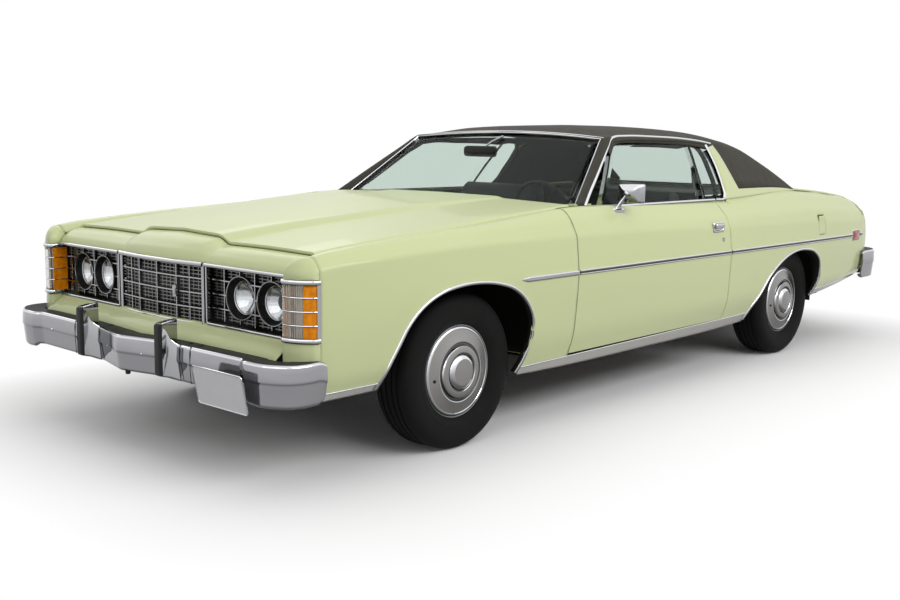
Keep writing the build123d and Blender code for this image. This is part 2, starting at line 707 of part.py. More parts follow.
with BuildPart() as rear_bumper:
    add(bumper_bar(rear_bumper_line, rear_bumper_low, rear_bumper_high, bumper_wall))
    for side in (-1, 1):
        x = side * bracket_x
        add(block((x - 30, rail_rear, 440), (x + 30, 4445, 500)))
    add(block((-bumper_end_x, 3900, rear_bumper_low), (bumper_end_x, rail_rear, rear_bumper_high)),
        mode=Mode.SUBTRACT)
    add(block((-bumper_end_x, 3900, rear_bumper_low), (-600, 4198, rear_bumper_high)), mode=Mode.SUBTRACT)
    add(block((600, 3900, rear_bumper_low), (bumper_end_x, 4198, rear_bumper_high)), mode=Mode.SUBTRACT)
rear_bumper.part.label = "rear_bumper"

front_plate_x = 640
front_plate_z = 440
with BuildPart() as plates:
    add(block((front_plate_x - plate_width / 2, -1048 - plate_sheet, front_plate_z - plate_height / 2),
              (front_plate_x + plate_width / 2, -1048, front_plate_z + plate_height / 2)))
    add(block((-plate_width / 2, tail_plan[-1][1], rear_plate_z - plate_height / 2),
              (plate_width / 2, tail_plan[-1][1] + plate_sheet, rear_plate_z + plate_height / 2)))
    for x in (-plate_bolts / 2, plate_bolts / 2):
        add(rod((x, 4150, plate_bolt_z), (x, 4300, plate_bolt_z), plate_bolt_radius), mode=Mode.SUBTRACT)
plates.part.label = "plates"

# --- chassis frame ------------------------------------------------------------------------
# Rail centre line on the left: station, x, z.
rail_line = [(rail_front, bracket_x, 420), (-520, bracket_x, 400), (400, bracket_x, 340), (590, 650, 250),
             (2365, 650, 250), (2580, 560, 380), (2780, 525, 500), (3380, 525, 510), (3620, 500, 470),
             (rail_rear, bracket_x, 470)]


def rail(side):
    """One side rail: a box section lofted straight from station to station."""
    with BuildPart() as made:
        for station, x, z in rail_line:
            with BuildSketch(across(station)):
                with Locations((side * x, z)):
                    Rectangle(rail_width, rail_height)
        loft(ruled=True)
    return made.part


with BuildPart() as frame:
    for side in (-1, 1):
        add(rail(side))
    add(block((-430, -70, 225), (430, 70, engine_bottom)))
    add(block((-640, 1240, 240), (640, 1320, 300)))
    add(block((-640, link_front - 40, 240), (640, link_front, 300)))
    add(block((-540, 2700, 470), (540, 2760, 540)))
    add(block((-450, 4080, 430), (450, 4140, 500)))
    add(block((-430, -760, 370), (430, -700, 440)))
frame.part.label = "frame"

# --- floor --------------------------------------------------------------------------------
floor_top = floor_z + floor_thickness
well_x, well_top = 640, 745
well_edge_x = 925
with BuildPart() as floor_pan:
    add(block((-912, 600, floor_z), (912, 2350, floor_top)))
    add(block((-912, 2338, floor_top), (-well_x, 2350, 500)))
    add(block((well_x, 2338, floor_top), (912, 2350, 500)))
    add(block((-912, 2338, 488), (-well_x, 2460, 500)))
    add(block((well_x, 2338, 488), (912, 2460, 500)))
    add(block((-well_x, 2300, floor_top), (well_x, 2312, trunk_floor_z)))
    add(block((-well_x, 2300, trunk_floor_z), (well_x, 4155, trunk_floor_z + floor_thickness)))
    add(block((-tunnel_x, 615, floor_z), (tunnel_x, 2312, tunnel_top)))
    add(block((tunnel_sheet - tunnel_x, 600, floor_z), (tunnel_x - tunnel_sheet, 2350, tunnel_top - tunnel_sheet)),
        mode=Mode.SUBTRACT)
    for side in (-1, 1):
        low, high = sorted((side * (well_x - 10), side * well_x))
        add(block((low, 2460, trunk_floor_z), (high, 3480, well_top)))
        low, high = sorted((side * (well_x - 10), side * well_edge_x))
        add(block((low, 2460, well_top), (high, 3480, well_top + 10)))
        low, high = sorted((side * (well_x - 10), side * 930))
        add(block((low, 3480, trunk_floor_z), (high, 4155, trunk_floor_z + floor_thickness)))
        add(block((low, 3470, trunk_floor_z), (high, 3480, well_top + 10)))
        add(block((low, 2448, 500), (high, 2460, well_top + 10)))
    with BuildPart(mode=Mode.PRIVATE) as sill:
        add(flank_wall(fender_rear, quarter_front, door_inner_x))
        add(block((700, 600, 200), (1100, 2300, sill_top)), mode=Mode.INTERSECT)
    add(sill.part)
    add(mirror(sill.part, about=Plane.YZ, mode=Mode.PRIVATE))
floor_pan.part.label = "floor_pan"

# --- heavy and hanging units --------------------------------------------------------------
with BuildPart() as engine_block:
    add(block((-235, -400, engine_bottom), (235, 480, 810)))
    add(block((-130, 480, engine_bottom), (130, transmission_rear, 600)))
engine_block.part.label = "engine_block"

with BuildPart() as fuel_tank:
    add(block((-370, 3560, 330), (370, 4050, trunk_floor_z)))
fuel_tank.part.label = "fuel_tank"

exhaust_x, exhaust_z, exhaust_radius = 330, 205, 29
with BuildPart() as exhaust:
    add(rod((exhaust_x, 560, exhaust_z), (exhaust_x, 2450, exhaust_z), exhaust_radius))
    add(rod((exhaust_x, 2440, exhaust_z), (490, 2700, exhaust_z + 10), exhaust_radius))
    add(rod((490, 2685, exhaust_z + 10), (490, 4180, exhaust_z + 25), exhaust_radius))
    add(block((exhaust_x - 110, 1600, exhaust_z - 30), (exhaust_x + 110, 2200, floor_z)))
    add(rod((exhaust_x, 570, exhaust_z), (200, 430, 350), exhaust_radius))
    add(engine_block.part, mode=Mode.SUBTRACT)
exhaust.part.label = "exhaust"

# --- cabin --------------------------------------------------------------------------------
with BuildPart() as front_seats:
    for side in (-1, 1):
        low, high = sorted((side * 165, side * 790))
        add(block((low, 1310, floor_top), (high, 1860, 560)))
        add(side_prism([(1790, 500), (1900, 500), (2010, 1050), (1900, 1060)], low, high))
front_seats.part.label = "front_seats"

with BuildPart() as rear_seat:
    add(block((-620, 2312, trunk_floor_z + floor_thickness), (620, 2560, 650)))
    add(side_prism([(2500, 640), (2620, 640), (2730, 984), (2600, 984)], -620, 620))
rear_seat.part.label = "rear_seat"

with BuildPart() as dashboard:
    add(side_prism([(cowl_rear, 935), (cowl_rear, 1000), (1010, 1002), (1130, 965), (1160, 880),
                    (1120, 720), (1000, 700)], -775, 775))
dashboard.part.label = "dashboard"

wheel_centre = (340, 1330, 925)
column_lean = 25
column_run = (0, -cos(radians(column_lean)), -sin(radians(column_lean)))


def along_column(distance):
    """A point on the steering column, forwards and down from the wheel's centre."""
    return tuple(c + d * distance for c, d in zip(wheel_centre, column_run))


with BuildPart() as column_body:
    add(rod(along_column(45), along_column(640), 26))
    add(rod(along_column(5), along_column(45), 9))
with BuildPart() as dash_without_column:
    add(dashboard.part)
    add(rod(along_column(30), along_column(650), 26 + fit), mode=Mode.SUBTRACT)
dashboard = dash_without_column
dashboard.part.label = "dashboard"
with BuildPart() as steering_column:
    add(column_body.part)
    add(block((0, 500, 200), (700, firewall_rear, 900)), mode=Mode.SUBTRACT)
steering_column.part.label = "steering_column"

wheel_rim_radius, wheel_rim_section = 196, 13
wheel_plane = Plane(origin=(wheel_centre[0], st(wheel_centre[1]), wheel_centre[2]), x_dir=(1, 0, 0),
                    z_dir=tuple(-c for c in column_run))
with BuildPart() as steering_wheel:
    with BuildSketch(wheel_plane.rotated((90, 0, 0))):
        with Locations((wheel_rim_radius, 0)):
            Circle(wheel_rim_section)
    revolve(axis=Axis(wheel_plane.origin, wheel_plane.z_dir))
    with BuildSketch(wheel_plane.offset(-38)):
        Circle(34)
        Circle(9 + fit, mode=Mode.SUBTRACT)
    extrude(amount=34)
    with BuildSketch(wheel_plane.offset(-10)):
        Rectangle(2 * wheel_rim_radius, 46)
        Circle(9 + fit, mode=Mode.SUBTRACT)
    extrude(amount=12)
steering_wheel.part.label = "steering_wheel"

# --- wheels, knuckles and axle ------------------------------------------------------------
hub_bore = 24
flange_radius = 203
tyre_profile = [(bead_radius + fit, -67.5), (flange_radius + fit, -71.5), (flange_radius + fit, -84),
                (275, -tyre_width / 2), (318, -98), (337, -80), (tyre_radius, 0), (337, 80), (318, 98),
                (275, tyre_width / 2), (flange_radius + fit, 84), (flange_radius + fit, 71.5),
                (bead_radius + fit, 67.5)]
wheel_profile = [(hub_bore + fit, 22), (60, 22), (66, 40), (112, 40), (122, 22), (150, 14), (168, -8),
                 (176, -68), (184, -rim_width / 2), (flange_radius, -rim_width / 2), (flange_radius, -72), (bead_radius, -68),
                 (bead_radius, 68), (flange_radius, 72), (flange_radius, rim_width / 2), (188, rim_width / 2 - 6),
                 (176, 40), (156, 22), (126, 32), (116, 52), (62, 52), (52, 66), (hub_bore + fit, 66)]


def turned(profile, centre, outward):
    """A body turned about a wheel's axle: (radius, distance outwards) points."""
    plane = Plane(origin=centre, x_dir=(0, 0, 1), z_dir=(0, -outward, 0))
    with BuildPart() as made:
        with BuildSketch(plane):
            with BuildLine():
                Polyline(*[(r, d * plane.y_dir.X * outward) for r, d in profile], close=True)
            make_face()
        revolve(axis=Axis(centre, (1, 0, 0)))
    return made.part


corners = {"front_left": (1, 0), "front_right": (-1, 0), "rear_left": (1, wheelbase), "rear_right": (-1, wheelbase)}
running = {}
for corner, (side, station) in corners.items():
    centre = (side * track / 2, st(station), tyre_radius)
    running["tyre_" + corner] = turned(tyre_profile, centre, side)
    running["wheel_" + corner] = turned(wheel_profile, centre, side)

ball_low, ball_high = 232, 492
for side, name in ((1, "knuckle_left"), (-1, "knuckle_right")):
    with BuildPart() as knuckle:
        x = side * steer_axis_x
        add(rod((x, 0, ball_low + 6), (x, 0, ball_high - 6), 20))
        add(rod((x, 0, tyre_radius), (side * (track / 2 + 60), 0, tyre_radius), hub_bore))
        add(rod((side * 712, 0, tyre_radius), (side * 722, 0, tyre_radius), 100))
        low, high = sorted((side * (steer_axis_x - 14), side * (steer_axis_x + 6)))
        add(block((low, 0, 300), (high, 150, 322)))
    running[name] = knuckle.part

with BuildPart() as control_arms:
    for side in (-1, 1):
        for z_low, inner_x, spread in ((ball_low - 9, 372, 150), (ball_high - 5.7, 480, 110)):
            add(plan_prism([(side * inner_x, -spread), (side * (steer_axis_x + 4), -16),
                            (side * (steer_axis_x + 4), 16), (side * inner_x, spread)],
                           z_low, z_low + 14.7))
        low, high = sorted((side * 452, side * 480))
        add(block((low, -110, 390), (high, 110, ball_high + 9)))
    add(frame.part, mode=Mode.SUBTRACT)
control_arms.part.label = "control_arms"

with BuildPart() as rear_axle:
    add(rod((-700, wheelbase, tyre_radius), (700, wheelbase, tyre_radius), 42))
    add(rod((-track / 2 - 60, wheelbase, tyre_radius), (track / 2 + 60, wheelbase, tyre_radius), hub_bore))
    add(rod((0, wheelbase - 130, tyre_radius), (0, wheelbase + 130, tyre_radius), 130))
    for side in (-1, 1):
        add(rod((side * 525, wheelbase, tyre_radius), (side * 525, wheelbase, 455), 55))
        add(rod((side * 706, wheelbase, tyre_radius), (side * 716, wheelbase, tyre_radius), 128))
        low, high = sorted((side * 478, side * 506))
        add(side_prism([(link_front, 250), (link_front, 292), (wheelbase, tyre_radius + 27), (wheelbase, tyre_radius - 23)], low, high))
    add(rod((0, transmission_rear + 4, shaft_front_z), (0, wheelbase - 100, tyre_radius), shaft_radius))
    add(frame.part, mode=Mode.SUBTRACT)
rear_axle.part.label = "rear_axle"

# --- write every piece --------------------------------------------------------------------
os.makedirs("parts", exist_ok=True)
pieces = {builder.part.label: builder.part for builder in (
    frame, floor_pan, cowl, quarter_left, quarter_right, roof, rear_deck, tail_panel, fender_left,
    fender_right, header_panel, front_valance, engine_block, windshield, backlight, quarter_glass,
    grilles, headlamps, turn_lamps, tail_lamps, front_bumper, rear_bumper, plates, front_seats,
    rear_seat, dashboard, steering_column, control_arms, rear_axle, fuel_tank, exhaust, hood,
    trunk_lid, fuel_door, door_left, door_right, door_glass_left, door_glass_right,
    door_hardware_left, door_hardware_right, steering_wheel)}
for name, part in running.items():
    part.label = name
    pieces[name] = part
for name, part in pieces.items():
    export_step(part, f"parts/{name}.step")
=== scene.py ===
# %% [markdown]
# # A full-size two-door hardtop
#
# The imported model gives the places: axle line, panel gaps, hinges, glass. This script dresses it. Painted
# panels are smooth surfaces worked out on a grid, bright trim is a profile carried along a path, and the
# pieces that the solids already show well keep their mesh and only get a finish.

# %% Load the frame
import math

import bmesh
import bpy
import numpy as np
from mathutils import Matrix, Vector

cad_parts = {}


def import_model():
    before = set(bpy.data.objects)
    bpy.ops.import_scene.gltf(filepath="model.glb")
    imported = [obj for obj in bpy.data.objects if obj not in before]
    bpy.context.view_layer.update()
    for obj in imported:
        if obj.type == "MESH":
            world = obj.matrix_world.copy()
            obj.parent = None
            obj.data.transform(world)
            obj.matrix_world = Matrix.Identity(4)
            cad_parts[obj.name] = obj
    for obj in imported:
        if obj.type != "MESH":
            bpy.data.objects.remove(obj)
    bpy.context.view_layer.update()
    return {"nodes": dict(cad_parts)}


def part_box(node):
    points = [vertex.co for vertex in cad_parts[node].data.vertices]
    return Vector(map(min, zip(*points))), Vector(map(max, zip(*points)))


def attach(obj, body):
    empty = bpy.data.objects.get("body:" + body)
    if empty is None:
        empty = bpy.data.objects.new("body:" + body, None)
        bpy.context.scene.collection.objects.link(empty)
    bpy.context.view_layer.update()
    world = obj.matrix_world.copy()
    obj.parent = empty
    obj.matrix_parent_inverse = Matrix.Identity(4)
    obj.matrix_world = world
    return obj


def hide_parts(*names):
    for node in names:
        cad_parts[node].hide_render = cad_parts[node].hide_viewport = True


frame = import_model()
front_axle_y = sum(corner[1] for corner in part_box("wheel_front_left")) / 2

# %% [markdown]
# ## Places
# A body drawing counts lengthwise stations from the front axle. All shapes below are millimetres: left of
# the middle, station, height. One function turns them into the frame's metres.


# %% Stations to metres
def world(points):
    """Millimetres (x, station, z) to metres in the frame."""
    moved = np.array(points, dtype=float) / 1000
    moved[..., 1] += front_axle_y
    return moved


# %% [markdown]
# ## Camera, floor and light
# The camera stands by the car's left front corner at standing height. The floor and the world show white to
# the camera, to glass and to chrome, while the light on the car stays plain and soft.

# %% Camera
camera_place = (4.033, -3.535 + front_axle_y, 1.361)
camera_yaw, camera_pitch, camera_roll = 132.0512, -8.5222, 0.7652
sensor_width, focal_length = 36.0, 44.717


def aim_camera():
    """A camera from its place and its yaw, pitch and roll in degrees."""
    data = bpy.data.cameras.new("camera")
    data.sensor_width, data.lens = sensor_width, focal_length
    data.clip_end = 200
    camera = bpy.data.objects.new("camera", data)
    bpy.context.collection.objects.link(camera)
    yaw, pitch, roll = (math.radians(a) for a in (camera_yaw, camera_pitch, camera_roll))
    forward = np.array([math.cos(pitch) * math.cos(yaw), math.cos(pitch) * math.sin(yaw), math.sin(pitch)])
    right = np.cross(forward, (0, 0, 1))
    right /= np.linalg.norm(right)
    up = np.cross(right, forward)
    turned_right = math.cos(roll) * right + math.sin(roll) * up
    turned_up = -math.sin(roll) * right + math.cos(roll) * up
    matrix = np.eye(4)
    matrix[:3, 0], matrix[:3, 1], matrix[:3, 2], matrix[:3, 3] = turned_right, turned_up, -forward, camera_place
    camera.matrix_world = Matrix(matrix.tolist())
    return camera


bpy.context.scene.camera = aim_camera()
bpy.context.scene.view_settings.view_transform = "Standard"

# %% [markdown]
# ## Finishes
# A material here is a Principled shader whose colour, roughness and bump come from a little arithmetic on
# the piece's own coordinates; on plated metal the colour also carries painted reflection, set by which way
# the surface faces. A small class lets that arithmetic be written as Python expressions.


# %% Socket arithmetic
class Sock:
    """A node output that can be used in Python arithmetic."""

    def __init__(self, tree, out):
        self.tree, self.out = tree, out

    def node(self, kind, settings=None, inputs=None, output=0):
        """Adds a node: its settings first, then the values or links of its sockets."""
        return add_node(self.tree, kind, settings, inputs, output)

    def math(self, operation, *others):
        """One Math node: this socket first, then the others."""
        return self.node("ShaderNodeMath", {"operation": operation}, dict(enumerate((self, *others))))

    def __add__(self, other):
        return self.math("ADD", other)

    __radd__ = __add__

    def __mul__(self, other):
        return self.math("MULTIPLY", other)

    __rmul__ = __mul__

    def __sub__(self, other):
        return self.math("SUBTRACT", other)

    def __rsub__(self, other):
        return self.node("ShaderNodeMath", {"operation": "SUBTRACT"}, {0: other, 1: self})

    def clamp(self, low=0.0, high=1.0):
        """The value kept between two limits."""
        return self.math("MAXIMUM", low).math("MINIMUM", high)


def add_node(tree, kind, settings=None, inputs=None, output=0):
    """A node with its settings, then its sockets' values or links; returns one of its outputs."""
    node = tree.nodes.new(kind)
    for key, value in (settings or {}).items():
        if key == "stops":
            ramp = node.color_ramp
            while len(ramp.elements) < len(value):
                ramp.elements.new(0.5)
            for element, (place, colour) in zip(ramp.elements, value):
                element.position, element.color = place, colour
        else:
            setattr(node, key, value)
    for key, value in (inputs or {}).items():
        socket = node.inputs[key]
        if isinstance(value, Sock):
            tree.links.new(value.out, socket)
        elif isinstance(value, tuple) and len(value) == 3 and socket.type == "RGBA":
            socket.default_value = (*value, 1)
        else:
            socket.default_value = value
    return Sock(tree, node.outputs[output])


def srgb(red, green, blue):
    """A colour as seen on a screen, 0 to 255, to the shader's linear numbers."""
    value = np.array([red, green, blue]) / 255
    return tuple(np.where(value <= 0.04045, value / 12.92, ((value + 0.055) / 1.055) ** 2.4).tolist())


# %% The finish builder
def finish(name, colour, roughness=0.5, metallic=0.0, second=None, patch_size=0.3, mottle=0.0, grain=0.0,
           grain_size=0.002, spread=0.0, lean=None, reflection_streaks=0.0, fades=None, **sockets):
    """A procedural finish: two tones mixed by slow noise, roughness that varies by `spread`, a fine grain.

    `lean` multiplies the colour by how much the surface faces up: pairs of (normal Z, share). This is painted
    reflection: plated metal is coloured dark where it faces down, as if mirroring the floor, and bright where it
    faces up, as if mirroring the sky. The streaks setting waves those painted shares sideways.
    `fades` lets other sockets fall from their value to another one where the surface faces straight up.
    """
    material = bpy.data.materials.new(name)
    material.use_nodes = True
    tree = material.node_tree
    shader = tree.nodes["Principled BSDF"]
    place = add_node(tree, "ShaderNodeTexCoord", output=3)
    slow = add_node(tree, "ShaderNodeTexNoise", None,
                    {"Vector": place, "Scale": 1 / patch_size, "Detail": 3.0, "Roughness": 0.55})
    low = 0.5 - mottle
    mask = ((slow - low) * (1 / max(2 * mottle, 0.001))).clamp() if mottle else slow
    tone = add_node(tree, "ShaderNodeMix", {"data_type": "RGBA"},
                    {0: mask, 6: (*colour, 1), 7: (*(second or tuple(c * 0.93 for c in colour)), 1)}, 2)
    if lean or fades:
        normal = add_node(tree, "ShaderNodeNewGeometry", output=1)
        facing = normal.node("ShaderNodeSeparateXYZ", None, {0: normal}, 2)
        # Sideways waves in the painted reflection.
        if reflection_streaks:
            long = place.node("ShaderNodeMapping", None, {"Vector": place, "Scale": (3.0, 3.0, 22.0)})
            wave = long.node("ShaderNodeTexNoise", None, {"Vector": long, "Scale": 1.0, "Detail": 2.0})
            facing = facing + (wave - 0.5) * reflection_streaks
    # Painted reflection: the colour is multiplied by a share read from the normal's Z.
    if lean:
        stops = [(0.5 + z / 2, (share, share, share, 1)) for z, share in lean]
        share = add_node(tree, "ShaderNodeValToRGB", {"stops": stops}, {0: facing * 0.5 + 0.5})
        tone = add_node(tree, "ShaderNodeMix", {"data_type": "RGBA", "blend_type": "MULTIPLY"},
                        {0: 1.0, 6: tone, 7: share}, 2)
    tree.links.new(tone.out, shader.inputs["Base Color"])
    fine = add_node(tree, "ShaderNodeTexNoise", None,
                    {"Vector": place, "Scale": 1 / max(grain_size, 1e-4), "Detail": 2.0})
    rough = (slow - 0.5) * (2 * spread) + roughness
    tree.links.new(rough.clamp(0.02, 1.0).out, shader.inputs["Roughness"])
    if grain:
        bump = add_node(tree, "ShaderNodeBump", None, {"Strength": 1.0, "Distance": grain, "Height": fine})
        tree.links.new(bump.out, shader.inputs["Normal"])
    shader.inputs["Metallic"].default_value = metallic
    for key, value in sockets.items():
        shader.inputs[key.replace("_", " ")].default_value = value
    for key, (low, high, first, last) in (fades or {}).items():
        share = ((facing - low) * (1 / (high - low))).clamp()
        tree.links.new((share * (last - first) + first).out, shader.inputs[key])
    return material


paint_colour = srgb(205, 213, 162)
paint = finish("lime_paint", paint_colour, 0.36, second=tuple(c * 0.97 for c in paint_colour), patch_size=0.8,
               spread=0.03, Specular_IOR_Level=0.1, Coat_Weight=0.6, Coat_Roughness=0.04, Coat_IOR=1.35,
               fades={"Coat Weight": (0.55, 0.97, 0.6, 0.16)})
# Painted reflection for plated trim: shares of colour by the normal's Z, dark facing down and bright facing up.
trim_painted_reflection = [(-1.0, 0.10), (-0.35, 0.16), (0.0, 0.42), (0.25, 0.95), (0.7, 0.9), (1.0, 0.75)]
# Painted reflection for the bumper bars: dark facing down, bright on the upper face, and the up-facing ledge painted
# nearly black with little metal, a painted dark reflection, waved by streaks.
bar_painted_reflection = [(-1.0, 0.08), (-0.45, 0.14), (-0.16, 0.27), (0.0, 0.30), (0.1, 0.42), (0.45, 0.95), (0.8, 0.55),
            (0.97, 0.05)]
chrome = finish("bright_chrome", (0.90, 0.91, 0.93), 0.09, 1.0, second=(0.80, 0.81, 0.84), patch_size=0.15,
                spread=0.05, lean=trim_painted_reflection)
bar_chrome = finish("bumper_chrome", (0.92, 0.92, 0.96), 0.11, 1.0, second=(0.82, 0.82, 0.87), patch_size=0.2,
                    spread=0.05, lean=bar_painted_reflection, reflection_streaks=0.12,
                    fades={"Metallic": (0.88, 0.98, 1.0, 0.15)}, Specular_IOR_Level=0.0)
chrome_dull = finish("brushed_bright_metal", (0.42, 0.42, 0.43), 0.24, 1.0, second=(0.34, 0.34, 0.35),
                     patch_size=0.03, spread=0.08)
# Each row: name, the two tones, roughness, metallic, patch size, mottle, spread, grain, grain size, specular level.
plain_rows = [
    ("grained_vinyl_top", (62, 60, 51), (50, 49, 42), 0.7, 0, 0.06, 0, 0.08, 0.0006, 0.0016, 0.22),
    ("black_rubber", (15, 15, 15), (24, 24, 23), 0.6, 0, 0.05, 0, 0.1, 0.0002, 0.002, 0.3),
    ("tyre_rubber", (11, 11, 11), (18, 18, 17), 0.75, 0, 0.09, 0, 0.1, 0.0003, 0.003, 0.15),
    ("satin_black", (10, 10, 11), (18, 18, 18), 0.5, 0, 0.06, 0, 0.08, 0, 0.002, 0.3),
    ("dark_underseal", (22, 21, 20), (36, 33, 29), 0.85, 0, 0.15, 0, 0.1, 0.0008, 0.006, 0.15),
    ("chassis_black", (24, 24, 24), (50, 44, 38), 0.6, 0, 0.12, 0.2, 0.1, 0.0003, 0.004, 0.3),
    ("wheel_silver", (120, 120, 122), (104, 105, 107), 0.36, 0.75, 0.04, 0, 0.08, 0, 0.002, 0.5),
    ("painted_iron", (46, 74, 104), (50, 55, 58), 0.55, 0, 0.07, 0.15, 0.1, 0.0006, 0.004, 0.5),
    ("exhaust_metal", (104, 96, 88), (120, 84, 58), 0.5, 0.8, 0.08, 0.12, 0.1, 0, 0.002, 0.5),
    ("green_seat_vinyl", (34, 42, 35), (27, 34, 28), 0.55, 0, 0.05, 0, 0.08, 0.0004, 0.0022, 0.25),
    ("dark_green_trim", (28, 35, 30), (22, 28, 24), 0.6, 0, 0.07, 0, 0.08, 0.0004, 0.002, 0.2),
    ("carpet", (26, 32, 27), (19, 24, 20), 0.95, 0, 0.02, 0.15, 0, 0.002, 0.003, 0.1),
    ("headliner", (52, 55, 48), (45, 48, 42), 0.85, 0, 0.05, 0, 0, 0.0004, 0.003, 0.15),
    ("blank_plate", (221, 221, 223), (212, 212, 215), 0.4, 0, 0.05, 0, 0.06, 0, 0.002, 0.25),
    ("net_metal", (150, 150, 147), (112, 112, 110), 0.4, 0.7, 0.05, 0, 0.1, 0, 0.002, 0.5),
]


def plain_finish(name, first, second, roughness, metallic, patch_size, mottle, spread, grain, grain_size, specular):
    """A finish from one row of the table; its tones are screen colours."""
    return finish(name, srgb(*first), roughness, metallic, srgb(*second), patch_size, mottle, grain, grain_size,
                  spread, Specular_IOR_Level=specular)


(vinyl_top, rubber, tyre_rubber, black_paint, underseal, chassis_black, wheel_silver, cast_iron, pipe_metal,
 seat_vinyl, trim_vinyl, carpet, headliner, plate_blank, net_metal) = [plain_finish(*row) for row in plain_rows]
# Painted reflection in the lamp bowls: darker where the surface faces down, brighter where it faces up.
reflector = finish("lamp_reflector", (0.82, 0.83, 0.84), 0.14, 1.0, second=(0.66, 0.67, 0.68), patch_size=0.04,
                   spread=0.06, lean=[(-1.0, 0.35), (-0.4, 0.5), (-0.05, 0.62), (0.1, 1.0), (0.3, 0.8), (0.6, 1.0)])
glass_sheet = finish("tinted_glass", (0.75, 0.82, 0.78), 0.0, second=(0.73, 0.80, 0.76), patch_size=0.6,
                     Transmission_Weight=1.0, IOR=1.12)
lamp_glass = finish("clear_lamp_glass", (0.96, 0.97, 0.97), 0.02, second=(0.93, 0.94, 0.95),
                    patch_size=0.05, Transmission_Weight=1.0, IOR=1.3)
amber = finish("amber_lens", srgb(246, 156, 14), 0.3, second=srgb(216, 116, 4), patch_size=0.02, mottle=0.2,
               spread=0.06, grain=0.0006, grain_size=0.004, Specular_IOR_Level=0.1, Coat_Weight=0.15,
               Coat_Roughness=0.05)
red_lens = finish("red_lens", srgb(176, 62, 52), 0.2, second=srgb(128, 20, 16), patch_size=0.03,
                  spread=0.05, Specular_IOR_Level=0.3, Coat_Weight=0.4, Coat_Roughness=0.05)
print(len(bpy.data.materials), "finishes")

# %% [markdown]
# ## Grids, bars and turned shapes
# Three ways make nearly every piece: a surface on a grid, a closed profile carried along a path, and a
# profile turned about an axle. Each gives points in whole arrays; one function makes the mesh.

# %% Points and lengths
sides = ((1, "left"), (-1, "right"))


def xyz(x, s, z):
    """Points from their three coordinates; a single number or a row is repeated to fit the others."""
    return np.stack(np.broadcast_arrays(x, s, z), axis=-1).astype(float)


def unit(vectors):
    """Each vector divided by its length."""
    return vectors / np.linalg.norm(vectors, axis=-1, keepdims=True)


def distance_along(points):
    """The running sum of the steps between a line's points."""
    return np.concatenate([[0], np.cumsum(np.linalg.norm(np.diff(points, axis=0), axis=1))])


# %% From points to pieces
def grid_faces(rows, columns, loop_rows=False, loop_columns=False):
    """Quads between neighbouring grid points, as an array of vertex numbers."""
    i = np.arange(rows if loop_rows else rows - 1)[:, None]
    j = np.arange(columns if loop_columns else columns - 1)[None, :]
    after_i, after_j = (i + 1) % rows, (j + 1) % columns
    quads = [i * columns + j, after_i * columns + j, after_i * columns + after_j, i * columns + after_j]
    return np.stack([np.broadcast_to(q, (i.size, j.size)) for q in quads], axis=-1).reshape(-1, 4)


def piece_from(name, vertices, faces, material, body="root", crease=None, smooth=True):
    """A named mesh object from millimetre points and face lists; rides on a body."""
    mesh = bpy.data.meshes.new(name)
    mesh.from_pydata(world(vertices).tolist(), [], [tuple(f) for f in faces])
    mesh.validate()
    obj = bpy.data.objects.new(name, mesh)
    bpy.context.collection.objects.link(obj)
    mesh.materials.append(material)
    if smooth:
        mesh.polygons.foreach_set("use_smooth", np.ones(len(mesh.polygons), dtype=bool))
        if crease is not None:
            mesh.set_sharp_from_angle(angle=math.radians(crease))
    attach(obj, body)
    return obj


def surface(name, grid, material, body="root", crease=None, wall=3.0, flip=False):
    """A sheet from a grid of points (rows, columns, 3); `wall` is its thickness in millimetres."""
    faces = grid_faces(*grid.shape[:2])
    faces = faces[:, ::-1] if flip else faces
    return thicken(piece_from(name, grid.reshape(-1, 3), faces.tolist(), material, body, crease), wall)


def thicken(obj, wall):
    """Gives a sheet `wall` millimetres on its inner side."""
    solid = obj.modifiers.new("wall", "SOLIDIFY")
    solid.thickness, solid.offset = wall / 1000, -1.0
    return obj


def other_side(grid):
    """The same grid on the car's right."""
    return grid * np.array([-1.0, 1.0, 1.0])


def both_sides(name, grid, material, bodies=("root", "root"), flip=False, **options):
    """One piece on each side of the car; the right one's faces are turned so that they look outwards."""
    left = surface(name + "_left", grid, material, bodies[0], flip=flip, **options)
    right = surface(name + "_right", other_side(grid), material, bodies[1], flip=not flip, **options)
    return left, right


def clean(obj, weld=None, outwards=True):
    """Merges points that lie within `weld` metres and turns a closed mesh's faces outwards."""
    work = bmesh.new()
    work.from_mesh(obj.data)
    if weld:
        bmesh.ops.remove_doubles(work, verts=work.verts, dist=weld)
    if outwards:
        bmesh.ops.recalc_face_normals(work, faces=work.faces)
    work.to_mesh(obj.data)
    work.free()
    return obj


def solid_from(name, grid, material, body="root", crease=None, around=False, across=True, ends=True):
    """A closed piece from rings of points: each grid row is a ring, and the first and last get a face."""
    rows, columns = grid.shape[:2]
    faces = grid_faces(rows, columns, around, across).tolist()
    if ends and not around:
        faces += [list(range(columns)), [rows * columns - 1 - k for k in range(columns)]]
    return clean(piece_from(name, grid.reshape(-1, 3), faces, material, body, crease), 1e-6)


# %% Bars along a path
def smooth_path(points, samples):
    """A cubic curve through the points, with the slope at each from its neighbours' spacing."""
    run = distance_along(points)
    return through_stations(run, points, np.linspace(0, run[-1], samples))


def through_stations(stations, values, s):
    """Values at any station: a cubic between neighbours whose slopes are those of the values either side."""
    stations, values, s = np.asarray(stations, float), np.asarray(values, float), np.asarray(s, float)
    slope = np.gradient(values, stations, axis=0)
    i = np.clip(np.searchsorted(stations, s, side="right") - 1, 0, len(stations) - 2)
    width = stations[i + 1] - stations[i]
    q = (s - stations[i]) / width
    more = (...,) + (None,) * (values.ndim - 1)
    q, width = q[more], width[more]
    return ((2 * q**3 - 3 * q**2 + 1) * values[i] + (q**3 - 2 * q**2 + q) * width * slope[i]
            + (3 * q**2 - 2 * q**3) * values[i + 1] + (q**3 - q**2) * width * slope[i + 1])


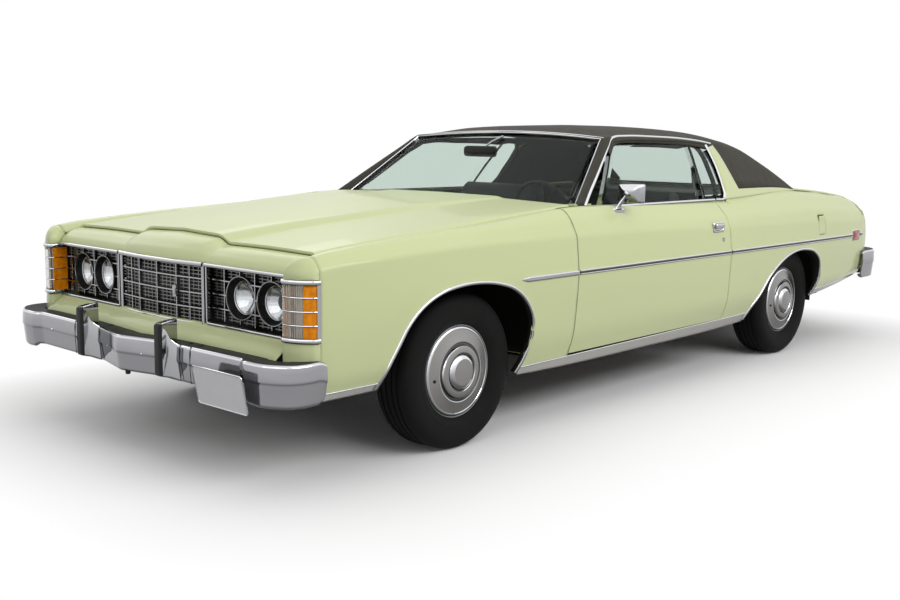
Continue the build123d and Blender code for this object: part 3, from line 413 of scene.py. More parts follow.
def rounded(corners, reach, samples=8):
    """Each inner corner becomes a quadratic curve that starts and ends `reach` from it."""
    corners = np.asarray(corners, float)
    middle = corners[..., 1:-1, :]
    back, ahead = corners[..., :-2, :] - middle, corners[..., 2:, :] - middle
    back_length = np.linalg.norm(back, axis=-1, keepdims=True)
    ahead_length = np.linalg.norm(ahead, axis=-1, keepdims=True)
    limit = 0.48 * np.minimum(back_length, ahead_length)
    size = np.minimum(np.broadcast_to(np.asarray(reach, float)[..., None], limit.shape), limit)
    start, end = middle + back / back_length * size, middle + ahead / ahead_length * size
    w = np.linspace(0, 1, samples)[:, None]
    arcs = ((1 - w)**2 * start[..., None, :] + 2 * w * (1 - w) * middle[..., None, :]
            + w**2 * end[..., None, :])
    arcs = arcs.reshape(*arcs.shape[:-3], -1, corners.shape[-1])
    return np.concatenate([corners[..., :1, :], arcs, corners[..., -1:, :]], axis=-2)


def rounded_loop(corners, reach, samples=6):
    """The same for a closed outline."""
    corners = np.asarray(corners, float)
    wrapped = np.concatenate([corners[-1:], corners, corners[:1]])
    return rounded(wrapped, np.full(len(corners), reach, float), samples)[1:-1]


def sweep(name, path, profile, material, body="root", up=(0, 0, 1), closed=False, crease=35, scale=None):
    """A closed profile carried along a path: profile X across (path cross up), profile Y along up.

    At each path point the frame is the tangent, the up direction made square to it, and their product.
    """
    path, profile = np.asarray(path, float), np.asarray(profile, float)
    steps = np.roll(path, -1, axis=0) - np.roll(path, 1, axis=0) if closed else np.gradient(path, axis=0)
    tangent = unit(steps)
    ups = np.broadcast_to(np.asarray(up, float), path.shape)
    ups = unit(ups - (ups * tangent).sum(axis=1, keepdims=True) * tangent)
    across = np.cross(tangent, ups)
    size = np.broadcast_to(1.0 if scale is None else np.asarray(scale, float), len(path))[:, None, None]
    grid = path[:, None] + across[:, None] * (profile[:, :1] * size) + ups[:, None] * (profile[:, 1:] * size)
    return solid_from(name, grid, material, body, crease, around=closed)


def pair_of(make, name, path, *rest, up, on_doors=False, **options):
    """The same strip on both sides of the car; on the doors it rides with them."""
    path, up = np.asarray(path, float), np.asarray(up, float)
    for side, word in sides:
        make(f"{name}_{word}", path * [side, 1, 1], *rest, up=up * [side, 1, 1],
             body="door_" + word if on_doors else "root", **options)


def disc_profile(radius, count=12):
    """A circle of points."""
    angle = np.linspace(0, 2 * math.pi, count, endpoint=False)
    return np.stack([np.cos(angle), np.sin(angle)], axis=1) * radius


def box_loop(half_width, half_height, reach, samples):
    """A rectangle about the middle with rounded corners."""
    return rounded_box_loop(-half_width, half_width, -half_height, half_height, reach, samples)


def rounded_box_loop(x_low, x_high, z_low, z_high, reach, samples=5):
    """A rectangle between two corners, each corner rounded by `reach`."""
    return rounded_loop([(x_low, z_low), (x_high, z_low), (x_high, z_high), (x_low, z_high)], reach, samples)


def bead_profile(width, height, count=9):
    """A half-round moulding that lies on Y = 0, `width` across and `height` proud."""
    angle = np.linspace(0, math.pi, count)
    top = np.stack([np.cos(angle) * width / 2, np.sin(angle) * height], axis=1)
    return np.concatenate([top, [[-width / 2, -1.5], [width / 2, -1.5]]])


# %% Turned shapes
def turned(name, profile, centre, axis, material, body="root", count=96, crease=30, closed_profile=False):
    """A profile of (radius, distance along the axis) turned about an axle through `centre`."""
    profile = np.asarray(profile, float)
    axis = np.asarray(axis, float) / np.linalg.norm(axis)
    side = np.cross(axis, (0, 0, 1.0)) if abs(axis[2]) < 0.9 else np.cross(axis, (1.0, 0, 0))
    side /= np.linalg.norm(side)
    third = np.cross(axis, side)
    angle = np.linspace(0, 2 * math.pi, count, endpoint=False)
    ring = np.cos(angle)[:, None] * side + np.sin(angle)[:, None] * third
    grid = (np.asarray(centre, float) + ring[:, None] * profile[None, :, :1] + axis * profile[None, :, 1:])
    return solid_from(name, grid, material, body, crease, around=True, across=closed_profile)


def joined(name, objects):
    """Several meshes as one piece; materials are kept."""
    target = objects[0]
    with bpy.context.temp_override(active_object=target, selected_editable_objects=objects,
                                   object=target, selected_objects=objects):
        bpy.ops.object.join()
    target.name = name
    target.data.name = name
    return target


def dress(material, *nodes):
    """Gives carried-over CAD nodes their finish."""
    for node in nodes:
        obj = frame["nodes"][node]
        obj.data.materials.clear()
        obj.data.materials.append(material)


# %% [markdown]
# ## Body side
# The flank is one smooth surface from nose to tail: at each station a section of nine corners runs from the
# sill to the top edge, and each corner is rounded by its own amount. The fenders, doors and quarters are
# cut out of that surface, so their highlights run on from one to the next.

# %% Flank sections
flank_stations = np.array([-852, -765, -600, -300, 0, 400, 725, 1400, 2190, 2700, 3300, 3900, 4100, 4190])
flank_corners = np.array([
    [(925, 352), (945, 392), (958, 436), (970, 600), (972, 700), (970, 856), (936, 900), (898, 902), (836, 875)],
    [(925, 351), (946, 391), (963, 436), (976, 600), (978, 702), (974, 866), (937, 912), (900, 915), (836, 895)],
    [(925, 350), (948, 390), (968, 436), (985, 600), (986, 705), (979, 875), (934, 925), (898, 929), (836, 908)],
    [(925, 345), (950, 385), (980, 436), (994, 605), (998, 712), (984, 886), (936, 944), (895, 949), (836, 931)],
    [(925, 300), (950, 345), (983, 436), (998, 610), (1002, 715), (986, 893), (938, 957), (892, 964), (836, 953)],
    [(926, 276), (950, 325), (984, 432), (998, 612), (1004, 715), (986, 892), (944, 964), (894, 988), (836, 983)],
    [(927, 268), (950, 322), (983, 428), (998, 612), (1004, 715), (985, 889), (948, 964), (898, 1017),
     (836, 1008)],
    [(927, 266), (951, 320), (985, 426), (999, 615), (1004, 715), (987, 882), (957, 938), (890, 1008),
     (836, 1008)],
    [(925, 268), (951, 322), (990, 424), (1000, 615), (1004, 715), (986, 852), (966, 904), (882, 996),
     (836, 1003)],
    [(925, 285), (951, 335), (988, 424), (1000, 615), (1003, 715), (988, 842), (963, 907), (868, 1004),
     (786, 1016)],
    [(925, 330), (950, 362), (982, 430), (996, 600), (999, 705), (984, 832), (955, 908), (852, 1008),
     (786, 1018)],
    [(918, 385), (938, 412), (965, 445), (982, 590), (986, 700), (974, 805), (945, 873), (862, 958), (786, 976)],
    [(909, 406), (929, 430), (953, 462), (968, 590), (971, 700), (960, 803), (934, 862), (866, 936), (786, 958)],
    [(905, 415), (925, 438), (948, 470), (962, 590), (964, 700), (954, 800), (934, 846), (872, 906), (786, 942)],
], float)
corner_reach = np.array([12, 60, 85, 85, 15, 26, 34])
arc_samples = 8
crease_row = 1 + 4 * arc_samples  # where the upper crease's curve starts
print(len(flank_stations), "flank stations, x up to", flank_corners[..., 0].max())


def flank_section(s):
    """The rounded section at stations s: an array (..., row, 2) of x and z."""
    return rounded(through_stations(flank_stations, flank_corners, s), corner_reach, arc_samples)


def flank_x(s, z):
    """How far out the flank lies at a station and height, below the upper crease."""
    section = flank_section(s)[..., :crease_row + 1, :]
    above = (section[..., 1] < np.asarray(z)[..., None]).sum(axis=-1)
    i = np.clip(above - 1, 0, crease_row - 1)[..., None]
    low = np.take_along_axis(section, i[..., None], axis=-2)[..., 0, :]
    high = np.take_along_axis(section, i[..., None] + 1, axis=-2)[..., 0, :]
    share = np.clip((z - low[..., 1]) / np.maximum(high[..., 1] - low[..., 1], 1e-6), 0, 1)
    return low[..., 0] + (high[..., 0] - low[..., 0]) * share


def resample(points, count):
    """Evenly spaced points along a polyline."""
    points = np.asarray(points, float)
    run = distance_along(points)
    where = np.linspace(0, run[-1], count)
    return np.stack([np.interp(where, run, points[:, k]) for k in range(points.shape[1])], axis=1)


def flank_panel(lower_edge, top_stations, rows_below=22):
    """A panel from its lower edge, (station, z) points, up to the top edge at the matching stations.

    Below the upper crease each column leaves the lower edge and bends early to its top station, so that the
    columns behind a wheel clear the opening; above it, the column stays at one station. x always comes from
    the flank's own section.
    """
    lower_edge, top_stations = np.asarray(lower_edge, float), np.asarray(top_stations, float)
    sections = flank_section(top_stations)
    crease_z = sections[:, crease_row, 1]
    share = np.linspace(0, 1, rows_below, endpoint=False)[None, :]
    lean = 1 - (1 - share)**4
    s = lower_edge[:, :1] * (1 - lean) + top_stations[:, None] * lean
    z = lower_edge[:, 1:] * (1 - share) + crease_z[:, None] * share
    upper = sections[:, crease_row:]
    above = xyz(upper[..., 0], top_stations[:, None], upper[..., 1])
    return np.concatenate([xyz(flank_x(s, z), s, z), above], axis=1)


def sill_line(s):
    """Height of the flank's lower edge."""
    return through_stations(flank_stations, flank_corners[:, 0, 1:], np.asarray(s, float))[..., 0]


front_arch = np.array([(-524, 352), (-500, 436), (-450, 524), (-402, 600), (-340, 658), (-216, 716), (-100, 735),
                       (20, 737), (140, 722), (264, 682), (350, 615), (398, 535), (402, 450), (375, 360), (350, 290)])
rear_arch = np.array([(2500, 285), (2531, 352), (2602, 435), (2672, 509), (2774, 581), (2897, 636), (3044, 666),
                      (3173, 665), (3300, 640), (3384, 584), (3416, 488), (3406, 410), (3394, 345)])
sill_columns, arch_columns = 16, 61
over_wheel = slice(sill_columns, sill_columns + arch_columns)
lean_of_tops, top_margin = 0.25, 100  # how far the top stations spread beyond the wheel opening

# %% Fenders
fender_rear = 721.3
door_front, door_rear = 728.0, 2187.0
quarter_front, quarter_end = 2193.7, 4190.0
panel_wall = 9.0


def edge_with_arch(first, arch, last):
    """A lower edge: along the sill, up over a wheel, and along the sill again; with matching top stations."""
    arch_curve = smooth_path(arch, arch_columns)
    front = np.linspace(first, arch_curve[0, 0], sill_columns, endpoint=False)
    rear = np.linspace(arch_curve[-1, 0], last, sill_columns + 1)[1:]
    lower = np.concatenate([np.stack([front, sill_line(front)], axis=1), arch_curve,
                            np.stack([rear, sill_line(rear)], axis=1)])
    widest = np.maximum.accumulate(arch_curve[:, 0])
    spread = np.linspace(widest[0] - top_margin, widest[-1] + top_margin, arch_columns)
    over = (1 - lean_of_tops) * widest + lean_of_tops * spread
    tops = np.concatenate([np.linspace(first, over[0], sill_columns, endpoint=False), over,
                           np.linspace(over[-1], last, sill_columns + 1)[1:]])
    return lower, tops


fender_edge, fender_tops = edge_with_arch(-850, front_arch, fender_rear)
fender_grid = flank_panel(fender_edge, fender_tops)
fenders = both_sides("fender", fender_grid, paint, wall=panel_wall, crease=50)
for obj, node in zip(fenders, ("fender_left", "fender_right")):
    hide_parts(node)
print("fender grid", fender_grid.shape)

# %% Quarter panels
quarter_edge, quarter_tops = edge_with_arch(quarter_front, rear_arch, quarter_end)
quarter_grid = flank_panel(quarter_edge, quarter_tops)
quarters = both_sides("quarter", quarter_grid, paint, wall=panel_wall, crease=50)
for obj, node in zip(quarters, ("quarter_left", "quarter_right")):
    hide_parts(node)
print("quarter grid", quarter_grid.shape)

# %% Doors
door_bottom = 328.7
door_stations = np.linspace(door_front, door_rear, 60)
door_grid = flank_panel(np.stack([door_stations, np.full(60, door_bottom)], axis=1), door_stations, 26)


def closed_shell(name, grid, inner_x, inner_end, material, body, flip=False):
    """A panel made into a closed box: its outer grid, then a flat inner face at inner_x, and both ends."""
    inner = grid[:, ::-1].copy()
    inner[..., 0] = inner_x
    inner[..., 1] = np.clip(inner[..., 1], None, inner_end)
    ring = np.concatenate([grid, inner], axis=1)
    rows, columns = ring.shape[:2]
    faces = grid_faces(rows, columns, False, True).tolist()
    half = columns // 2
    k = np.arange(half - 1)
    for base in (0, (rows - 1) * columns):
        faces += np.stack([base + k, base + k + 1, base + columns - 2 - k, base + columns - 1 - k],
                          axis=1).tolist()
    if flip:
        ring = other_side(ring)
    return clean(piece_from(name, ring.reshape(-1, 3), faces, material, body, 35), 1e-6)


door_inner_x, door_inner_end = 856.0, 2172.0
door_bodies = ("door_left", "door_right")
door_shells = [closed_shell(body + "_shell", door_grid, door_inner_x, door_inner_end, paint, body, flip=i == 1)
               for i, body in enumerate(door_bodies)]
for obj, node in zip(door_shells, door_bodies):
    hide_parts(node)

# %% [markdown]
# ## Hood
# A pressed lid with a broad raised middle. Its half section has a lip, the flat beside the dome, the valley,
# the dome's shoulder and the crown; a cubic through five stations makes the rest.

# %% Hood
hood_stations = np.array([-760, -400, 0, 400, 852])
hood_half = np.array([
    [(829, 874), (829, 893), (560, 898), (310, 895), (258, 922), (0, 931)],
    [(829, 905), (829, 924), (575, 929), (334, 932), (286, 957), (0, 967)],
    [(829, 932), (829, 951), (588, 957), (356, 964), (318, 985), (0, 994)],
    [(829, 963), (829, 982), (603, 989), (392, 997), (357, 1012), (0, 1019)],
    [(829, 991), (829, 1010), (622, 1016), (428, 1022), (392, 1031), (0, 1035)],
], float)
hood_reach = np.array([4, 120, 18, 34])


def mirrored_rows(half):
    """A half section, edge to middle, continued to the other edge; the first coordinate changes sign."""
    other = half * np.where(np.arange(half.shape[-1]) == 0, -1.0, 1.0)
    return np.concatenate([half, other[..., -2::-1, :]], axis=-2)


def lid_grid(stations, half, reach, count, samples=8):
    """Sections along a lid, with two more rows close to each end so that its rim stays crisp."""
    s = np.linspace(stations[0], stations[-1], count)
    s = np.sort(np.concatenate([s, s[[0, 0]] + [0.6, 6.0], s[[-1, -1]] - [0.6, 6.0]]))
    section = mirrored_rows(rounded(through_stations(stations, half, s), reach, samples))
    return xyz(section[..., 0], s[:, None], section[..., 1])


hood_grid = lid_grid(hood_stations, hood_half, hood_reach, 48)
hood = surface("hood_panel", hood_grid, paint, "hood", wall=14, flip=True, crease=40)
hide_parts("hood")
print("hood grid", hood_grid.shape)

# %% [markdown]
# ## Nose
# The header carries the hood's shape forwards and rolls it down to the bright edge above the grille. At each
# end a cap runs on from the fender's crest and falls over the corner lamp.

# %% Header
nose_plan = np.array([(836, -877), (300, -885), (290, -886), (136, -903), (0, -906)], float)
lamp_plan = np.array([(972, -852), (967, -872), (932, -905), (892, -923), (854, -929), (841, -917), (838, -826)],
                     dtype=float)
lamp_low, lamp_high = 588.0, 819.0
header_rear = -762.4
bright_edge_z, header_edge_z = 827.0, 893


def nose_station(x):
    """The station of the nose's bright edge at a distance from the middle."""
    order = np.argsort(nose_plan[:, 0])
    return np.interp(np.abs(x), nose_plan[order, 0], nose_plan[order, 1])


def header_grid(rows=28):
    """Columns across; along each, corners from the hood gap over the roll to the bright edge."""
    half = hood_grid[0, : hood_grid.shape[1] // 2 + 1]
    half = half[half[:, 2] > 885]
    half[0, 0] = 836
    half[0, 2] = header_edge_z
    x, rear_z = mirrored_rows(half[:, [0, 2]]).T
    front = nose_station(x)
    raised = np.clip(rear_z - header_edge_z, 0, None)
    corners = np.stack([
        np.stack([np.full_like(x, header_rear), rear_z - 16], axis=1),
        np.stack([np.full_like(x, header_rear), rear_z - 1], axis=1),
        np.stack([header_rear + 0.5 * (front - header_rear), rear_z - 8 - raised * 0.3], axis=1),
        np.stack([front + 15, bright_edge_z + 28 + raised * 0.25], axis=1),
        np.stack([front, np.full_like(x, bright_edge_z)], axis=1),
    ], axis=1)
    curve = rounded(corners, np.array([2.5, 80, 60]), rows // 3)
    return xyz(x[:, None], curve[..., 0], curve[..., 1])


header = surface("header_panel_skin", header_grid(), paint, wall=10)
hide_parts("header_panel")

# %% Caps over the corner lamps
lamp_path = rounded(lamp_plan, np.array([16, 18, 18, 18, 10]), 8)
cap_rear = -852.6


def lamp_cap_grid(rows=20):
    """From the fender's nose section forwards and down onto the lamp; height falls as a squashed quarter circle."""
    foot_z = lamp_high + 6
    section = flank_section(np.array([cap_rear]))[0]
    foot = [[flank_x(np.array(cap_rear), np.array(foot_z)), foot_z]]
    section = np.concatenate([foot, section[section[:, 1] > foot_z]])
    run = distance_along(section)
    outline = resample(lamp_path, 200)
    outline = outline[outline[:, 1] < cap_rear]
    where = np.linspace(0, 1, len(outline))
    target = np.stack([np.interp(run / run[-1], where, outline[:, k]) for k in (0, 1)], axis=1)
    v = np.linspace(0, 1, rows)[None, :]
    fall = 1 - np.sqrt(1 - v**2.1)
    x = section[:, :1] * (1 - v) + target[:, :1] * v
    s = cap_rear * (1 - v) + target[:, 1:] * v
    z = section[:, 1:] * (1 - fall) + (lamp_high + 3) * fall
    return xyz(x, s, z)


both_sides("lamp_cap", lamp_cap_grid(), paint, wall=5)


# %% Painted filler below the grille and under the lamps
def wall_along(plan, heights):
    """A wall over a plan line from a (height, outward step) profile; outward is square to the line."""
    tangent = unit(np.gradient(plan, axis=0))
    normal = np.stack([-tangent[:, 1], tangent[:, 0]], axis=1)
    place = plan[:, None] + normal[:, None] * heights[None, :, 1:]
    return xyz(place[..., 0], place[..., 1], heights[:, 0])


filler_half = np.array([(838, -872), (600, -874), (330, -878), (300, -884), (136, -899), (0, -903)], float)
filler_profile = rounded([(583, -22), (583, 0), (570, 5), (552, 34), (514, 82)], np.array([8, 16, 16]), 6)
under_profile = rounded([(586, -26), (586, 0), (560, 3), (440, 2), (372, -8)], np.array([6, 20, 40]), 6)
surface("nose_filler", wall_along(mirrored_rows(resample(filler_half, 40)), filler_profile), paint, wall=3, flip=True)
both_sides("under_lamp_panel", wall_along(resample(lamp_path, 60), under_profile), paint, wall=3)

# %% [markdown]
# ## Front and rear bumpers
# Each bar is one pressed and plated section carried round the car: a flat ledge on top, a rolled edge, an
# upper face, a crease and an undercut lower face. The front bar steps out in a block at the middle.

# %% Bumper bars
front_bar_half = np.array([(990, -836), (994, -945), (966, -1004), (884, -1053), (776, -1056), (744, -1034),
                           (360, -1042), (236, -1038), (12, -1094), (0, -1095)], float)
rear_bar_half = np.array([(986, 4108), (986, 4304), (952, 4380), (890, 4427), (400, 4466), (0, 4476)], float)
end_lift, end_run = 22, 40  # the bar's end is cut up by this much over its last stretch


def bar_section(low, high, ledge):
    """A bumper's closed section, (outward, height), from the ledge's inner edge round to the bottom lip."""
    tall = high - low
    outer = [(-ledge, high - 6), (-6, high), (3, high - 9), (6, low + 0.56 * tall), (2, low + 0.5 * tall),
             (-6, low + 9), (-14, low), (-30, low + 4)]
    inner = [(-30, low + 10), (-12, low + 18), (-3, high - 16), (-ledge, high - 11)]
    return np.concatenate([rounded(outer, np.array([7, 5, 4, 5, 8, 8]), 5), inner])


def bumper(name, half, low, high, ledge, reach, front, end_drop=0.0, end_from=760.0):
    """The bar's plan line, its corners rounded, with the section carried along it.

    Beyond `end_from` the lower half of the section hangs `end_drop` lower: the deeper corner pieces.
    """
    plan = mirrored_rows(rounded(half, reach, 7))
    first = unit(plan[1] - plan[0])
    steps = [plan[0] + first * d for d in (8, 16, 24, 32, 40)]
    plan = np.concatenate([plan[:1], steps, plan[1:-1], np.array(steps[::-1]) * [-1, 1], plan[-1:]])
    path = xyz(*plan.T, 0)
    section = bar_section(low, high, ledge)
    tangent = unit(np.gradient(path, axis=0))
    outward = xyz(-tangent[:, 1], tangent[:, 0], 0) * (1 if front else -1)
    grid = path[:, None] + outward[:, None] * section[None, :, :1]
    corner = np.clip((np.abs(path[:, :1]) - end_from) / 40, 0, 1)
    depth = np.clip((0.5 * (low + high) - section[None, :, 1]) / (0.5 * (high - low)), 0, 1)
    along = distance_along(path)
    to_end = np.minimum(along, along[-1] - along)[:, None]
    lift = end_lift * np.clip(1 - to_end / end_run, 0, 1)**2
    grid[..., 2] = section[None, :, 1] - (end_drop * corner - lift) * depth - lift * np.clip(-depth + 0.5, 0, 1)
    return solid_from(name, grid, bar_chrome, crease=28)


front_bar = bumper("front_bumper_bar", front_bar_half, 371, 524, 96, np.array([40, 40, 45, 24, 14, 24, 30, 12]), True,
                   end_drop=16)
rear_bar = bumper("rear_bumper_bar", rear_bar_half, 395, 588, 70, np.array([40, 40, 45, 60]), False)
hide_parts("front_bumper")
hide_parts("rear_bumper")

# %% [markdown]
# ### Guards
# Each guard is a plated blade with a black rubber face. Its outline grows from a narrow front to a broad
# root on the bar, and a thin web runs back over the ledge.


# %% Guards, seams and bolts
def stack_of_loops(name, loops, material, body="root", crease=32, caps=True):
    """A closed solid through loops of equal count; each loop is an array of (x, s, z)."""
    return solid_from(name, np.stack(loops), material, body, crease, ends=caps)


def front_loop(centre_x, half_width, low, high, station, reach):
    """A rounded upright rectangle that faces ahead."""
    loop = rounded_box_loop(-half_width, half_width, low, high, reach)
    return xyz(loop[:, 0] + centre_x, station, loop[:, 1])


# Rings of each guard piece: half width, lower and upper edge, station, corner.
guard_steps = {
    "blade": ((56, 374, 521, -1036, 9), (47, 380, 530, -1048, 9), (35, 387, 548, -1064, 9), (27, 391, 590, -1082, 9),
              (24, 393, 604, -1094, 9)),
    "web": ((12, 500, 617, -1016, 6), (15, 498, 616, -1030, 6), (19, 498, 612, -1060, 6), (23, 498, 607, -1092, 6)),
    "rubber": ((22, 394, 605, -1091, 5), (19, 397, 601, -1102, 7), (14, 405, 594, -1106, 6)),
}
guard_x = 293.0
for side, word in sides:
    for kind, steps in guard_steps.items():
        stack_of_loops(f"guard_{kind}_{word}", [front_loop(side * guard_x, *step) for step in steps],
                       rubber if kind == "rubber" else chrome)


def dome_bolt(centre, axis, radius, height):
    """A low round bolt head."""
    profile = [(0.01, height), (radius * 0.5, height * 0.86), (radius * 0.85, height * 0.45), (radius, 0),
               (radius, -2)]
    return turned("bolt", profile, centre, axis, chrome, count=20, crease=50)


joined("bumper_bolts", [dome_bolt((x, s, 456), (0.24 * np.sign(x) if abs(x) < 200 else 0, -1, 0), 5.5, 3)
                        for x, s in ((128, -1069), (-128, -1069), (640, -1043), (-640, -1043))])
turned("bumper_stop", [(0.01, -12), (9, -12), (11, -4), (11, 14)], (30, -1072, 372), (0, 0, 1), rubber, count=20)
seams = []
for side, word in sides:
    for x, s in ((226, -1041), (362, -1042), (430, -1041)):
        line = [(side * x, s + ahead, z) for ahead, z in ((-0.5, 376), (-5, 440), (-5.4, 500), (-1, 521), (60, 522))]
        seams.append(sweep("seam", line, disc_profile(1.6, 6), black_paint, up=(1, 0, 0)))
joined("bumper_seams", seams)


def box_between(name, low, high, material, body="root"):
    """A plain box between two opposite corners."""
    (x0, s0, z0), (x1, s1, z1) = low, high
    ring = [(x0, z0), (x1, z0), (x1, z1), (x0, z1)]
    return stack_of_loops(name, [np.array([(x, s, z) for x, z in ring]) for s in (s0, s1)], material, body)


# A black box behind the front plate, in the gap to the bar: painted shadow for that shaded gap.
box_between("front_plate_shadow_block", (624, -1076, 430), (744, -1040, 462), black_paint)
plate_lean = math.radians(-11.5)

# %% [markdown]
# ## Grille
# A net of plated bars in front of black sheets, which are painted shade for the dark space behind the grille.
# The main bars make four rows; between them a finer, darker net sits deeper. A bar is a thin box between two
# points; all boxes of one finish are one mesh.

# %% Bars between points
ahead = np.array([0.0, -1.0, 0.001])  # outwards from the net, tipped so that it is never a bar's own run


def bar_set(name, bars, width, depth, material):
    """Thin boxes between pairs of points: `width` across and `depth` outwards, both square to the run."""
    starts, ends = np.array(bars, float).transpose(1, 0, 2)
    run = unit(ends - starts)
    normal = np.broadcast_to(unit(ahead), run.shape)
    across = np.cross(run, normal)
    corners = [end + across * (a * width / 2) + normal * (b * depth / 2)
               for end in (starts, ends) for a, b in ((-1, -1), (1, -1), (1, 1), (-1, 1))]
    base = np.arange(len(bars))[:, None, None] * 8
    box_faces = np.array([(0, 1, 2, 3), (7, 6, 5, 4), (0, 4, 5, 1), (1, 5, 6, 2), (2, 6, 7, 3), (3, 7, 4, 0)])
    faces = (base + box_faces).reshape(-1, 4).tolist()
    return clean(piece_from(name, np.stack(corners, axis=1).reshape(-1, 3), faces, material, smooth=False))


grille_low, grille_high = 581.0, 824.0


def outside_circles(bars, radius):
    """The parts of upright and level bars that lie outside the lamps' circles in the (x, z) plane."""
    for cx, cz in lamp_circles:
        parts = []
        for a, b in bars:
            upright = abs(a[0] - b[0]) < abs(a[2] - b[2])
            along, off, centre = (2, a[0] - cx, cz) if upright else (0, a[2] - cz, cx)
            if abs(off) >= radius:
                parts.append((a, b))
                continue
            reach = math.sqrt(radius**2 - off**2)
            low, high = sorted((a[along], b[along]))
            for first, last in ((low, min(high, centre - reach)), (max(low, centre + reach), high)):
                if last - first > 2:
                    p, q = list(a), list(b)
                    p[along], q[along] = first, last
                    parts.append((p, q))
        bars = parts
    return bars


def on_nose(x, recess):
    """A point of the folded grille face, set back by `recess`."""
    x = np.asarray(x, float)
    return np.stack([x, nose_station(x) + recess], axis=-1)


def lattice(name, verticals, horizontals, z_span, recess, width, depth, x_breaks, at=on_nose):
    """Upright bars at `verticals` and level bars at `horizontals`, the level ones folded at `x_breaks`."""
    bars = [[(*at(x, recess), z) for z in z_span] for x in verticals]
    bars += [[(*at(x, recess), z) for x in pair] for z in horizontals for pair in zip(x_breaks, x_breaks[1:])]
    return bar_set(name, outside_circles(bars, 86), width, depth, chrome_dull)


def fine_net(columns, base, tall, uprights, levels, span, recess, side, at):
    """The finer bars inside each cell: `uprights` are shares of its width, `levels` heights above its foot.

    `base` is the first row's foot and `tall` a row's height; the uprights reach over `span`, and the level
    bars keep twelve millimetres from the cell's sides.
    """
    bars = []
    for left, right in zip(columns, columns[1:]):
        for low in base + tall * np.arange(4):
            bars += [[(*at(side * (left + (right - left) * share), recess), low + z) for z in span]
                     for share in uprights]
            bars += [[(*at(side * x, recess), low + level) for x in (left + 12, right - 12)] for level in levels]
    return bars


lamp_places = [(500.0, -845.0, 703.0), (687.0, -838.0, 701.0)]
lamp_circles = [(side * x, z) for side in (1, -1) for x, s, z in lamp_places]
row_height = (grille_high - grille_low) / 4
rows_at = [grille_low + row_height * k for k in (1, 2, 3)]
folds = [-290, -136, 0, 136, 290]
grille_span = (grille_low, grille_high)
grille_parts = [lattice("main_bars", [-136, 0, 136], rows_at, grille_span, 6, 5.0, 9, folds),
                lattice("fold_bars", [-213, 213], [], grille_span, 8, 3.8, 7, folds)]
net = fine_net(folds, grille_low, row_height, (0.2, 0.4, 0.6, 0.8), [row_height * k for k in (0.25, 0.5, 0.75)],
               (7, row_height - 7), 13, 1, on_nose)
grille_parts.append(bar_set("fine_bars", net, 3.4, 3, net_metal))
side_height = (lamp_high - lamp_low) / 4
side_rows = [lamp_low + (lamp_high - lamp_low) * k / 4 for k in (1, 2, 3)]
panel_station = -846.0


def on_panel(x, recess):
    """A point of the flat panel beside the lamps."""
    return np.array([x, panel_station + recess])


for side in (1, -1):
    level_at = [side * x for x in (262, 393, 490, 588, 687, 786, 832)]
    grille_parts.append(lattice("side_bars", [side * x for x in (393, 588, 786)], side_rows, (596, 812), 0, 4.6, 8,
                                level_at, on_panel))
    grille_parts.append(lattice("side_short", [side * x for x in (490, 687)], [], (596, 812), 2, 3.2, 6, [0, 0],
                                on_panel))
    net = fine_net((200, 296, 393, 490, 588, 687, 786, 836), lamp_low, side_height, (0.33, 0.67),
                   [58 * k for k in (0.28, 0.5, 0.72)], (10, 48), 9, side, on_panel)
    grille_parts.append(bar_set("side_net", outside_circles(net, 88), 3.0, 3, net_metal))
grille = joined("grille_bars", grille_parts)
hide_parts("grilles")
print("grille", len(grille.data.polygons), "faces")


def painted_shade_sheet(name, plan, z_span):
    """A level strip of black sheet along a plan line: painted shade behind the grille."""
    x, s = np.asarray(plan, float).T[..., None]
    return surface(name, xyz(x, s, np.array(z_span, float)), black_paint, wall=3.0)


# Black sheets behind the centre grille and the side nets: painted shade in place of the dark space there.
back_plan = mirrored_rows(np.array([(296, -862), (136, -878), (0, -880)], float))
backs = [painted_shade_sheet("side_back", [(side * 170, -788), (side * 834, -788)], (548, 824)) for side in (1, -1)]
joined("grille_shade_panels", [painted_shade_sheet("grille_back", back_plan, (578, 826)), *backs])

# %% Bright frames round the grille
frames = []
for side in (1, -1):
    path = rounded([(838, 823), (322, 823), (322, 585), (838, 585)], np.array([10, 10]), 5) * [side, 1]
    frames.append(sweep("side_frame", xyz(path[:, 0], nose_station(path[:, 0]) + 4, path[:, 1]),
                        rounded_box_loop(-5, 5, -9, 7, 2.5, 3), chrome, up=(0, -1, 0)))
    brow_x = side * np.linspace(318, 838, 9)
    frames.append(sweep("brow", xyz(brow_x, nose_station(brow_x) - 1, 823.0), box_loop(9, 7, 4, 4), chrome))
top_plan = mirrored_rows(rounded([(303, -887), (138, -908), (0, -911)], np.array([8]), 5))
low_plan = mirrored_rows(rounded([(301, -880), (137, -899), (0, -902)], np.array([8]), 5))
thick = box_loop(10, 9, 5, 4)
frames.append(sweep("top_bar", xyz(*top_plan.T, 823), thick, chrome))
frames.append(sweep("low_bar", xyz(*low_plan.T, 577), box_loop(6, 6, 3, 4), chrome))
frames += [sweep("post", [(x, -882, z) for z in (574, 700, 828)], thick * 0.82, chrome, up=(0, -1, 0))
           for x in (-299, 299)]
joined("grille_frames", frames)
badge_loop = box_loop(11, 20, 9, 6)
badge_x, badge_s, badge_z = 136.0, -905.0, 702.0


def badge(name, steps, material):
    """Rings of the plain oval badge: (share of its size, how far it stands out)."""
    stack_of_loops(name, [xyz(badge_x + badge_loop[:, 0] * share, badge_s - out, badge_z + badge_loop[:, 1] * share)
                          for share, out in steps], material)


badge("plain_oval_badge", ((1.25, 0), (1.2, 7)), chrome)
badge("plain_oval_core", ((0.85, 6.5), (0.8, 10), (0.55, 12)), chrome_dull)

# %% [markdown]
# ## Headlamps
# Four sealed lamps in deep black cones. The lens is a shallow dome of clear glass over a plated bowl.

